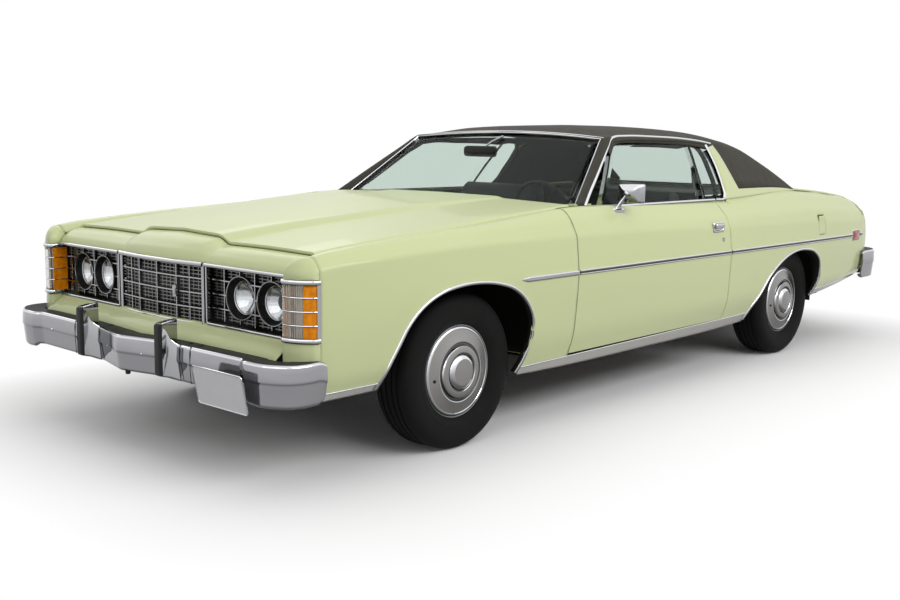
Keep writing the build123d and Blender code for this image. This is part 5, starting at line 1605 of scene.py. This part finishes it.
paddle_rings = ((84, 24, 5, 1), (84, 24, 5, 15), (78, 19, 4, 19), (8, 3, 1, 20))
for side, word in sides:
    body = "door_" + word
    side_stack("door_handle_plate_" + word, (2056, 861), handle_rings, side, chrome, body)
    paddle = side_stack("door_handle_paddle_" + word, (2050, 868), paddle_rings, side, chrome, body)
    turned("door_lock_" + word, [(0.02, 7), (7, 7), (11, 5), (12.5, 0), (12.5, -6)],
           (side * flank_x(2108.0, 790.0), 2108, 790), (side, 0, 0), chrome_dull, body, 24)
    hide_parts("door_hardware_" + word)


# %% Outside mirror
def cross_stack(name, x, z, rings, material, body="root"):
    """A piece along the car from rounded upright rectangles: (station, width, height, corner)."""
    loops = []
    for s, width, height, reach in rings:
        loop = box_loop(width / 2, height / 2, reach, 5)
        loops.append(xyz(x + loop[:, 0], s, z + loop[:, 1]))
    return stack_of_loops(name, loops, material, body)


head_rings = ((1173, 40, 24, 10), (1176, 78, 50, 14), (1186, 126, 86, 13), (1196, 136, 94, 12), (1226, 138, 96, 12),
              (1229, 132, 90, 10), (1224, 126, 84, 8))
cross_stack("mirror_head", 960, 1073, head_rings, chrome, "door_left")
# The mirror's glass takes the lamp reflector's finish, with its painted reflection.
cross_stack("mirror_glass", 960, 1073, ((1222, 127, 85, 8), (1226, 125, 83, 8)), reflector, "door_left")
circle = disc_profile(1, 20)
stalk_rings = ((906, 1164, 984, 22, 30), (906, 1164, 997, 18, 26), (916, 1168, 1012, 10, 16),
               (946, 1178, 1058, 9, 12), (956, 1180, 1076, 8, 8))
stack_of_loops("mirror_stalk", [xyz(x + circle[:, 0] * w, s + circle[:, 1] * d, z) for x, s, z, w, d in stalk_rings],
               chrome, "door_left")
turned("mirror_joint", [(0.02, 9), (9, 8), (14, 4), (15, -4), (12, -10)], (952, 1176, 1070), (0, -1, 0), chrome,
       "door_left", 24)
base_loops = [xyz(*(box_loop(w, d, reach, 5) + [903, 1166]).T, z)
              for w, d, reach, z in ((26, 48, 18, 972), (26, 48, 18, 992), (20, 40, 16, 998))]
stack_of_loops("mirror_base", base_loops, chrome, "door_left")

# %% Belt mouldings
belt_s = np.linspace(932, 2182, 50)
belt_path = xyz(884.0, belt_s, np.interp(belt_s, [932, 1240, 2182], [1010, 1007, 1004]))
pair_of(moulding, "belt_moulding", belt_path, 15, 6, up=(0.8, 0, 0.6), on_doors=True)
belt_rear = smooth_path([(884, 2196, 1004), (884, 2240, 1003), (885, 2275, 1003), (884, 2298, 1008)], 12)
pair_of(moulding, "belt_moulding_rear", belt_rear, 15, 6, up=(0.8, 0, 0.6))

# %% [markdown]
# ## Wheels and tyres
# Each tyre is turned from one profile with five tread ribs. A plated cover hides the wheel's middle: a
# broad flat ring, a dark groove, a raised ring and a low dome. The valve shows through a small hole.

# %% Wheels
axle_height, hub_x = 343, 815
wheel_places = {f"{end}_{word}": (side, s) for end, s in (("front", 0.0), ("rear", 3073.0)) for side, word in sides}
half_tread = [(343, 0), (343, 11), (336, 13), (336, 19), (343, 21), (343, 42), (336, 44), (336, 51), (342.5, 53),
              (341.5, 68), (338, 78), (331, 88), (320, 97), (304, 103), (284, 105), (264, 104), (246, 100.5),
              (244, 101.5), (236, 99), (222, 92), (211, 84), (206, 79)]
tyre_profile = np.array([*[(r, -d) for r, d in reversed(half_tread)], *half_tread[1:]], float)
tyre_profile[:, 0] = np.minimum(tyre_profile[:, 0], 342.6)
cover_profile = np.array([
    (0.02, 118), (30, 117.4), (58, 115.6), (64, 113.5), (72, 109), (77, 103), (79, 97), (82, 97), (83.5, 103),
    (86, 106), (108, 105), (113, 102.5), (117, 97), (119, 89), (123.5, 88), (127, 91), (130.5, 95.5), (134, 96),
    (181, 82.5), (184, 82), (186, 84), (191, 83.5), (196, 80), (199, 74), (198.5, 68)], float)
# Painted reflection and shade on the wheel covers: darker where the surface faces down, bright facing up.
cover_painted_reflection = [(-1.0, 0.15), (-0.4, 0.35), (0.0, 0.7), (0.3, 1.0), (1.0, 1.0)]
cover_satin = finish("satin_wheel_cover", (0.36, 0.35, 0.34), 0.24, 1.0, second=(0.31, 0.30, 0.29), patch_size=0.08,
                     lean=cover_painted_reflection)
groove_dark = finish("wheel_groove", (0.10, 0.10, 0.10), 0.3, 0.6, second=(0.07, 0.07, 0.07), patch_size=0.05)
# Each ring of the cover: its first and last row in the profile, and its finish.
cover_bands = ((0, 3, cover_satin), (2, 7, chrome), (6, 9, groove_dark), (8, 10, chrome), (9, 12, cover_satin),
               (11, 14, chrome), (13, 17, groove_dark), (16, 18, chrome), (17, 20, cover_satin), (19, 25, chrome))
valve_radius, valve_angle = 157, math.radians(-8)
for word, (side, station) in wheel_places.items():
    hub, out, body = (side * hub_x, station, axle_height), (side, 0, 0), "running_" + word
    tyre = turned("tyre_rubber_" + word, tyre_profile, hub, out, tyre_rubber, body, 128, 28, closed_profile=True)
    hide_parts("tyre_" + word)
    joined("wheel_cover_" + word, [turned("band", cover_profile[first:last], hub, out, material, body, 96, crease=34)
                                   for first, last, material in cover_bands])
    valve_s = station - valve_radius * math.cos(valve_angle)
    turned("valve_hole_" + word, [(0.02, 2.2), (6.5, 2.2), (7.5, 0), (7.5, -8)],
           (side * (hub_x + 90), valve_s, axle_height + valve_radius * math.sin(valve_angle)), (side * 0.96, 0, 0),
           black_paint, body, 20)
dress(wheel_silver, *["wheel_" + word for word in wheel_places])

# %% [markdown]
# ## Wheel housings
# Dark linings close the space between each wheel and the body.


# %% Housings
def housing(name, arch, inner_x):
    """A lining over a wheel: from an inner wall out to just behind the flank, along an arch of (station, z)."""
    s, z = smooth_path(arch, 60).T[..., None]
    share = np.linspace(0, 1, 12)
    both_sides(name, xyz(inner_x * (1 - share) + (flank_x(s, z) - 16) * share, s, z), underseal, wall=4)
    wall_z = np.linspace(0, 1, 6) * (z - z.min()) + z.min()
    both_sides(name + "_wall", xyz(inner_x, s, wall_z), underseal, wall=4)


housing("front_housing", [(-610, 365), (-600, 560), (-530, 716), (-360, 786), (0, 799), (340, 790), (480, 722),
                          (560, 590), (566, 330)], 500)
housing("rear_housing", [(2560, 480), (2640, 600), (2780, 690), (2960, 738), (3100, 742), (3260, 720), (3390, 640),
                         (3456, 520), (3462, 300)], 660)


def opening(grid, axle_station):
    """A wheel opening's edge, the same line 1.5 mm nearer the axle, and each point's place from the axle."""
    edge = grid[over_wheel, 0]
    from_axle = edge[:, 1:] - [axle_station, axle_height]
    return edge - np.column_stack([np.zeros(len(edge)), unit(from_axle)]) * 1.5, from_axle


rear_inside, from_axle = opening(quarter_grid, 3073)
distance = np.linalg.norm(from_axle, axis=1, keepdims=True)


def pushed_out(x, radius):
    """The lip's line at x, moved square to the tyre until it is `radius` from the axle."""
    away = from_axle * np.maximum(1, radius / distance)
    return xyz(x, away[:, 0] + 3073, away[:, 1] + axle_height)


rear_return = np.stack([rear_inside - [1, 0, 0], rear_inside - [26, 0, 0], pushed_out(930, 366),
                        pushed_out(928, 450)], axis=1)
both_sides("rear_housing_edge", rear_return, underseal, wall=3)
front_inside, _ = opening(fender_grid, 0)
front_return = np.stack([front_inside - [1, 0, 0], front_inside - [26, 0, 0] + [0, 0, 3]], axis=1)
both_sides("front_arch_return", front_return, underseal, wall=2)
print("rear lip is", distance.min(), "to", distance.max(), "from the axle")

# %% [markdown]
# ## Cabin
# Bench seats with rolled bolsters and sewn channels, a padded dashboard with its instrument hood, door
# trims with armrests and the steering wheel; all seen dimly through the tinted glass.

# %% Seats
channel_pitch, end_roll = 52.0, 42  # the sewn channels' spacing and how far in the ends are rounded


def bolster(name, x0, x1, section, count):
    """A stuffed form: a closed side-view section carried across the car, drawn in and rounded at both ends.

    The section shrinks to 0.72 at the ends along a quarter circle and by one percent at each sewn line.
    """
    section = rounded_loop(section, 46, 7)
    centre = section.mean(axis=0)
    x = (x0 + x1) / 2 - (x1 - x0) / 2 * np.cos(np.linspace(0, math.pi, count))
    size = np.clip(np.minimum(x - x0, x1 - x) / end_roll, 0, 1)
    size = 0.72 + 0.28 * np.sqrt(1 - (1 - size)**2)
    sewn = 1 - 0.010 * np.cos((x - x0) / channel_pitch * 2 * math.pi)**8
    loops = [xyz(one, *(centre + (section - centre) * k * w).T) for one, k, w in zip(x, size, sewn)]
    piece = stack_of_loops(name, loops, seat_vinyl, crease=55)
    return piece


for (side, word), (low, high) in zip(sides, ((170, 785), (-785, -170))):
    cushion = bolster("front_cushion_" + word, low, high, [(1320, 345), (1850, 345), (1850, 520), (1335, 560)], 60)
    bolster("front_backrest_" + word, low, high, [(1800, 500), (1895, 510), (2005, 1040), (1905, 1056)], 60)
    if side > 0:
        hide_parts("front_seats")
rear_cushion = bolster("rear_cushion", -615, 615, [(2325, 592), (2560, 592), (2560, 640), (2330, 668)], 70)
bolster("rear_backrest", -615, 615, [(2510, 640), (2615, 640), (2722, 975), (2610, 982)], 70)
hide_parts("rear_seat")


# %% Dashboard and steering wheel
def side_view(name, section, reach, samples, across):
    """A side-view section carried straight across the car."""
    loop = rounded_loop(section, reach, samples)
    return stack_of_loops(name, [xyz(x, *loop.T) for x in across], trim_vinyl, crease=40)


dash = side_view("dashboard_pad", [(945, 940), (948, 996), (1020, 1002), (1130, 962), (1156, 880), (1118, 724),
                                   (1004, 704)], 26, 6, (-772, -300, 300, 772))
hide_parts("dashboard")
side_view("instrument_hood", [(1040, 955), (1060, 1006), (1128, 1004), (1172, 968), (1168, 930)], 14, 5,
          (150, 165, 520, 535))
dial_profile = [(0.02, 4), (40, 4), (46, 8), (50, 6), (50, -4)]
joined("instrument_dials", [turned("dial", dial_profile, (x, 1164, 900), (0, 1, 0.12), chrome_dull, count=40)
                            for x in (240, 345, 450)])
column_tilt = math.radians(25)
column_axis = np.array([0, math.cos(column_tilt), math.sin(column_tilt)])
column_up = np.array([0, -math.sin(column_tilt), math.cos(column_tilt)])
wheel_middle = np.array([340, 1330, 925.0])
ring_angle = np.linspace(0, 2 * math.pi, 64, endpoint=False)[:, None]
rim_path = wheel_middle + 196 * (np.cos(ring_angle) * np.array([1.0, 0, 0]) + np.sin(ring_angle) * column_up)
rim = sweep("steering_rim", rim_path, disc_profile(12.5, 12), rubber, "steering_wheel", up=column_axis, closed=True)
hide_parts("steering_wheel")
spokes = []
for turn in (math.pi, 0.0):
    start = wheel_middle + np.array([math.cos(turn) * 30, 0, 0]) - column_axis * 22
    end = wheel_middle + np.array([math.cos(turn) * 190, 0, 0]) - column_up * 16
    spokes.append(sweep("spoke", np.linspace(start, end, 6), box_loop(20, 5, 4, 3), rubber, "steering_wheel",
                        up=column_axis, scale=np.linspace(1.3, 0.8, 6)))
pad_profile = [(0.02, 2), (40, 0), (56, -8), (60, -20), (40, -38), (12, -40)]
pad = turned("horn_pad", pad_profile, wheel_middle, column_axis, trim_vinyl, "steering_wheel", 40)
joined("steering_spokes", [*spokes, pad])
cross_stack("inner_mirror", -92, 1258, ((1258, 190, 38, 22), (1264, 226, 58, 22), (1284, 230, 62, 22),
                                        (1288, 220, 54, 22)), black_paint)
sweep("inner_mirror_arm", [(-70, 1272, 1275), (-40, 1310, 1312), (0, 1365, 1345)], disc_profile(6, 8), chrome_dull)


# %% Door trims, side trims and floor
def span_grid(first_s, last_s, rows, low, high, columns):
    """Stations and a second coordinate over a rectangle, as two grids."""
    return np.meshgrid(np.linspace(first_s, last_s, rows), np.linspace(low, high, columns), indexing="ij")


trim_s, trim_z = span_grid(800, 2160, 40, 350, 992, 16)
bulge = 9 + 6 * np.sin(math.pi * np.clip((trim_z - 350) / 642, 0, 1))
rest_side = rounded_loop([(806, 640), (842, 640), (846, 700), (806, 692)], 12, 5)
rest_steps = ((1320, 20, -6), (1345, 2, 0), (1900, 2, 10), (1930, 20, 6))
for side, word in sides:
    body = "door_" + word
    surface("door_trim_" + word, xyz(side * (856 - bulge), trim_s, trim_z), trim_vinyl, body, wall=5, flip=side < 0)
    stack_of_loops("armrest_" + word, [xyz(side * (rest_side[:, 0] + inwards), s, rest_side[:, 1] + up)
                                       for s, inwards, up in rest_steps], seat_vinyl, body)
    turned("door_pull_" + word, [(0.02, 14), (16, 13), (22, 4), (20, -6)], (side * 842, 1500, 760), (-side, 0, 0),
           chrome, body, 24)
panel_s, panel_z = span_grid(2290, 2740, 20, 420, 1000, 12)
panel_x = np.interp(panel_s, [2290, 2450, 2740], [846, 770, 640])
both_sides("rear_side_trim", xyz(panel_x, panel_s, panel_z), trim_vinyl, wall=5)
shelf_s, shelf_x = span_grid(2650, 3325, 6, -1, 1, 9)
shelf_half = np.interp(shelf_s, [2650, 3325], [770, 740])
surface("parcel_shelf", xyz(shelf_x * shelf_half, shelf_s, 1000), trim_vinyl, wall=4)
mat_s, mat_x = span_grid(630, 2300, 8, -1, 1, 25)
mat_z = 336 + 112 * np.clip((168 - np.abs(mat_x * 845)) / 20, 0, 1)
surface("carpet_floor", xyz(mat_x * 845, mat_s, mat_z), carpet, wall=6, flip=True)
print("carpet from", mat_s.min(), "to", mat_s.max())

# %% [markdown]
# ## Below and inside
# The chassis, running gear and the plain engine keep their solid shapes and only get their finishes. A dark
# pan fills the space behind the front bumper.

# %% Finishes of the carried-over parts
pan_grid = np.stack([xyz(np.linspace(-862, 862, 31), s, z) for s, z in ((-1006, 384), (-990, 378), (-850, 378))])
pan = surface("front_pan", pan_grid, underseal, wall=4, flip=True)
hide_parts("front_valance")
dress(chassis_black, "frame", "control_arms", "rear_axle", "knuckle_left", "knuckle_right", "fuel_tank")
dress(underseal, "floor_pan")
dress(paint, "cowl")
dress(cast_iron, "engine_block")
dress(pipe_metal, "exhaust")
dress(trim_vinyl, "steering_column")
print("dressed", len(frame["nodes"]), "nodes")

# %% [markdown]
# ## Stage and light
# The floor takes the light and the shadow near the car and turns plain white beyond it. Four large panels
# light the car: the ceiling, a strong window on its left, a weak one on its right and a small one in front.


# %% Stage
def seen_rays(tree):
    """1 for rays that come from the camera, a mirror or a pane; 0 for the rays that only carry light."""
    kinds = add_node(tree, "ShaderNodeLightPath").out.node.outputs
    camera, mirror, pane = (Sock(tree, kinds[f"Is {word} Ray"]) for word in ("Camera", "Glossy", "Transmission"))
    return (camera + mirror + pane).clamp()


def make_stage(reach=1.15, grey=0.42):
    """A floor that is lit and shadowed near the car and plain white beyond; diffuse rays see it as `grey`.

    White's share grows with the distance d outside the car's outline as (d / reach)^2.
    """
    mesh = bpy.data.meshes.new("floor")
    mesh.from_pydata([(-60, -60, 0), (60, -60, 0), (60, 60, 0), (-60, 60, 0)], [], [(0, 1, 2, 3)])
    floor = bpy.data.objects.new("floor", mesh)
    bpy.context.collection.objects.link(floor)
    material = bpy.data.materials.new("white_floor")
    material.use_nodes = True
    tree = material.node_tree
    shader = tree.nodes["Principled BSDF"]
    place = add_node(tree, "ShaderNodeNewGeometry", output=0)
    axes = place.node("ShaderNodeSeparateXYZ", None, {0: place}).out.node.outputs
    outside = [(Sock(tree, axes[k]).math("ABSOLUTE") - half).clamp(0, 50) for k, half in ((0, 0.7), (1, 2.25))]
    distance = (outside[0] * outside[0] + outside[1] * outside[1]).math("SQRT")
    white = (distance * (1 / reach)).clamp()
    seen = seen_rays(tree)
    tone = add_node(tree, "ShaderNodeMix", {"data_type": "RGBA"},
                    {0: seen, 6: (grey, grey, grey, 1), 7: (0.96, 0.96, 0.96, 1)}, 2)
    tree.links.new(tone.out, shader.inputs["Base Color"])
    shader.inputs["Roughness"].default_value = 0.9
    shader.inputs["Specular IOR Level"].default_value = 0.0
    plain = add_node(tree, "ShaderNodeEmission", None, {"Color": (1.0, 1.0, 1.0, 1), "Strength": 1.0})
    blend = add_node(tree, "ShaderNodeMixShader", None, {0: white * white * seen, 2: plain})
    tree.links.new(shader.outputs[0], blend.out.node.inputs[1])
    tree.links.new(blend.out, tree.nodes["Material Output"].inputs["Surface"])
    mesh.materials.append(material)
    return floor


make_stage()


# %% Lights
def area_light(name, place, target, size, power):
    """A rectangular lamp at a place, turned to its target; sizes in metres, power in watts."""
    data = bpy.data.lights.new(name, "AREA")
    data.shape, data.size, data.size_y, data.energy = "RECTANGLE", size[0], size[1], power
    light = bpy.data.objects.new(name, data)
    bpy.context.collection.objects.link(light)
    light.rotation_euler = (Vector(target) - Vector(place)).to_track_quat("-Z", "Y").to_euler()
    light.location = place


area_light("ceiling", (0, 0, 6), (0, 0, 0), (9, 9), 70)
area_light("left_window", (6.5, -0.5, 4.6), (0, 0, 0.7), (8, 2.6), 275)
area_light("right_window", (-6.5, 0.5, 4.6), (0, 0, 0.7), (8, 2.6), 90)
area_light("front_window", (1.5, -7.0, 3.5), (0, -0.8, 0.7), (6, 3), 45)
world_material = bpy.data.worlds.new("studio")
bpy.context.scene.world = world_material
world_material.use_nodes = True
world_tree = world_material.node_tree
seen = seen_rays(world_tree)
strength = seen + (1 - seen) * 0.5
world_tree.links.new(strength.out, world_tree.nodes["Background"].inputs["Strength"])
world_tree.nodes["Background"].inputs["Color"].default_value = (1, 1, 1, 1)
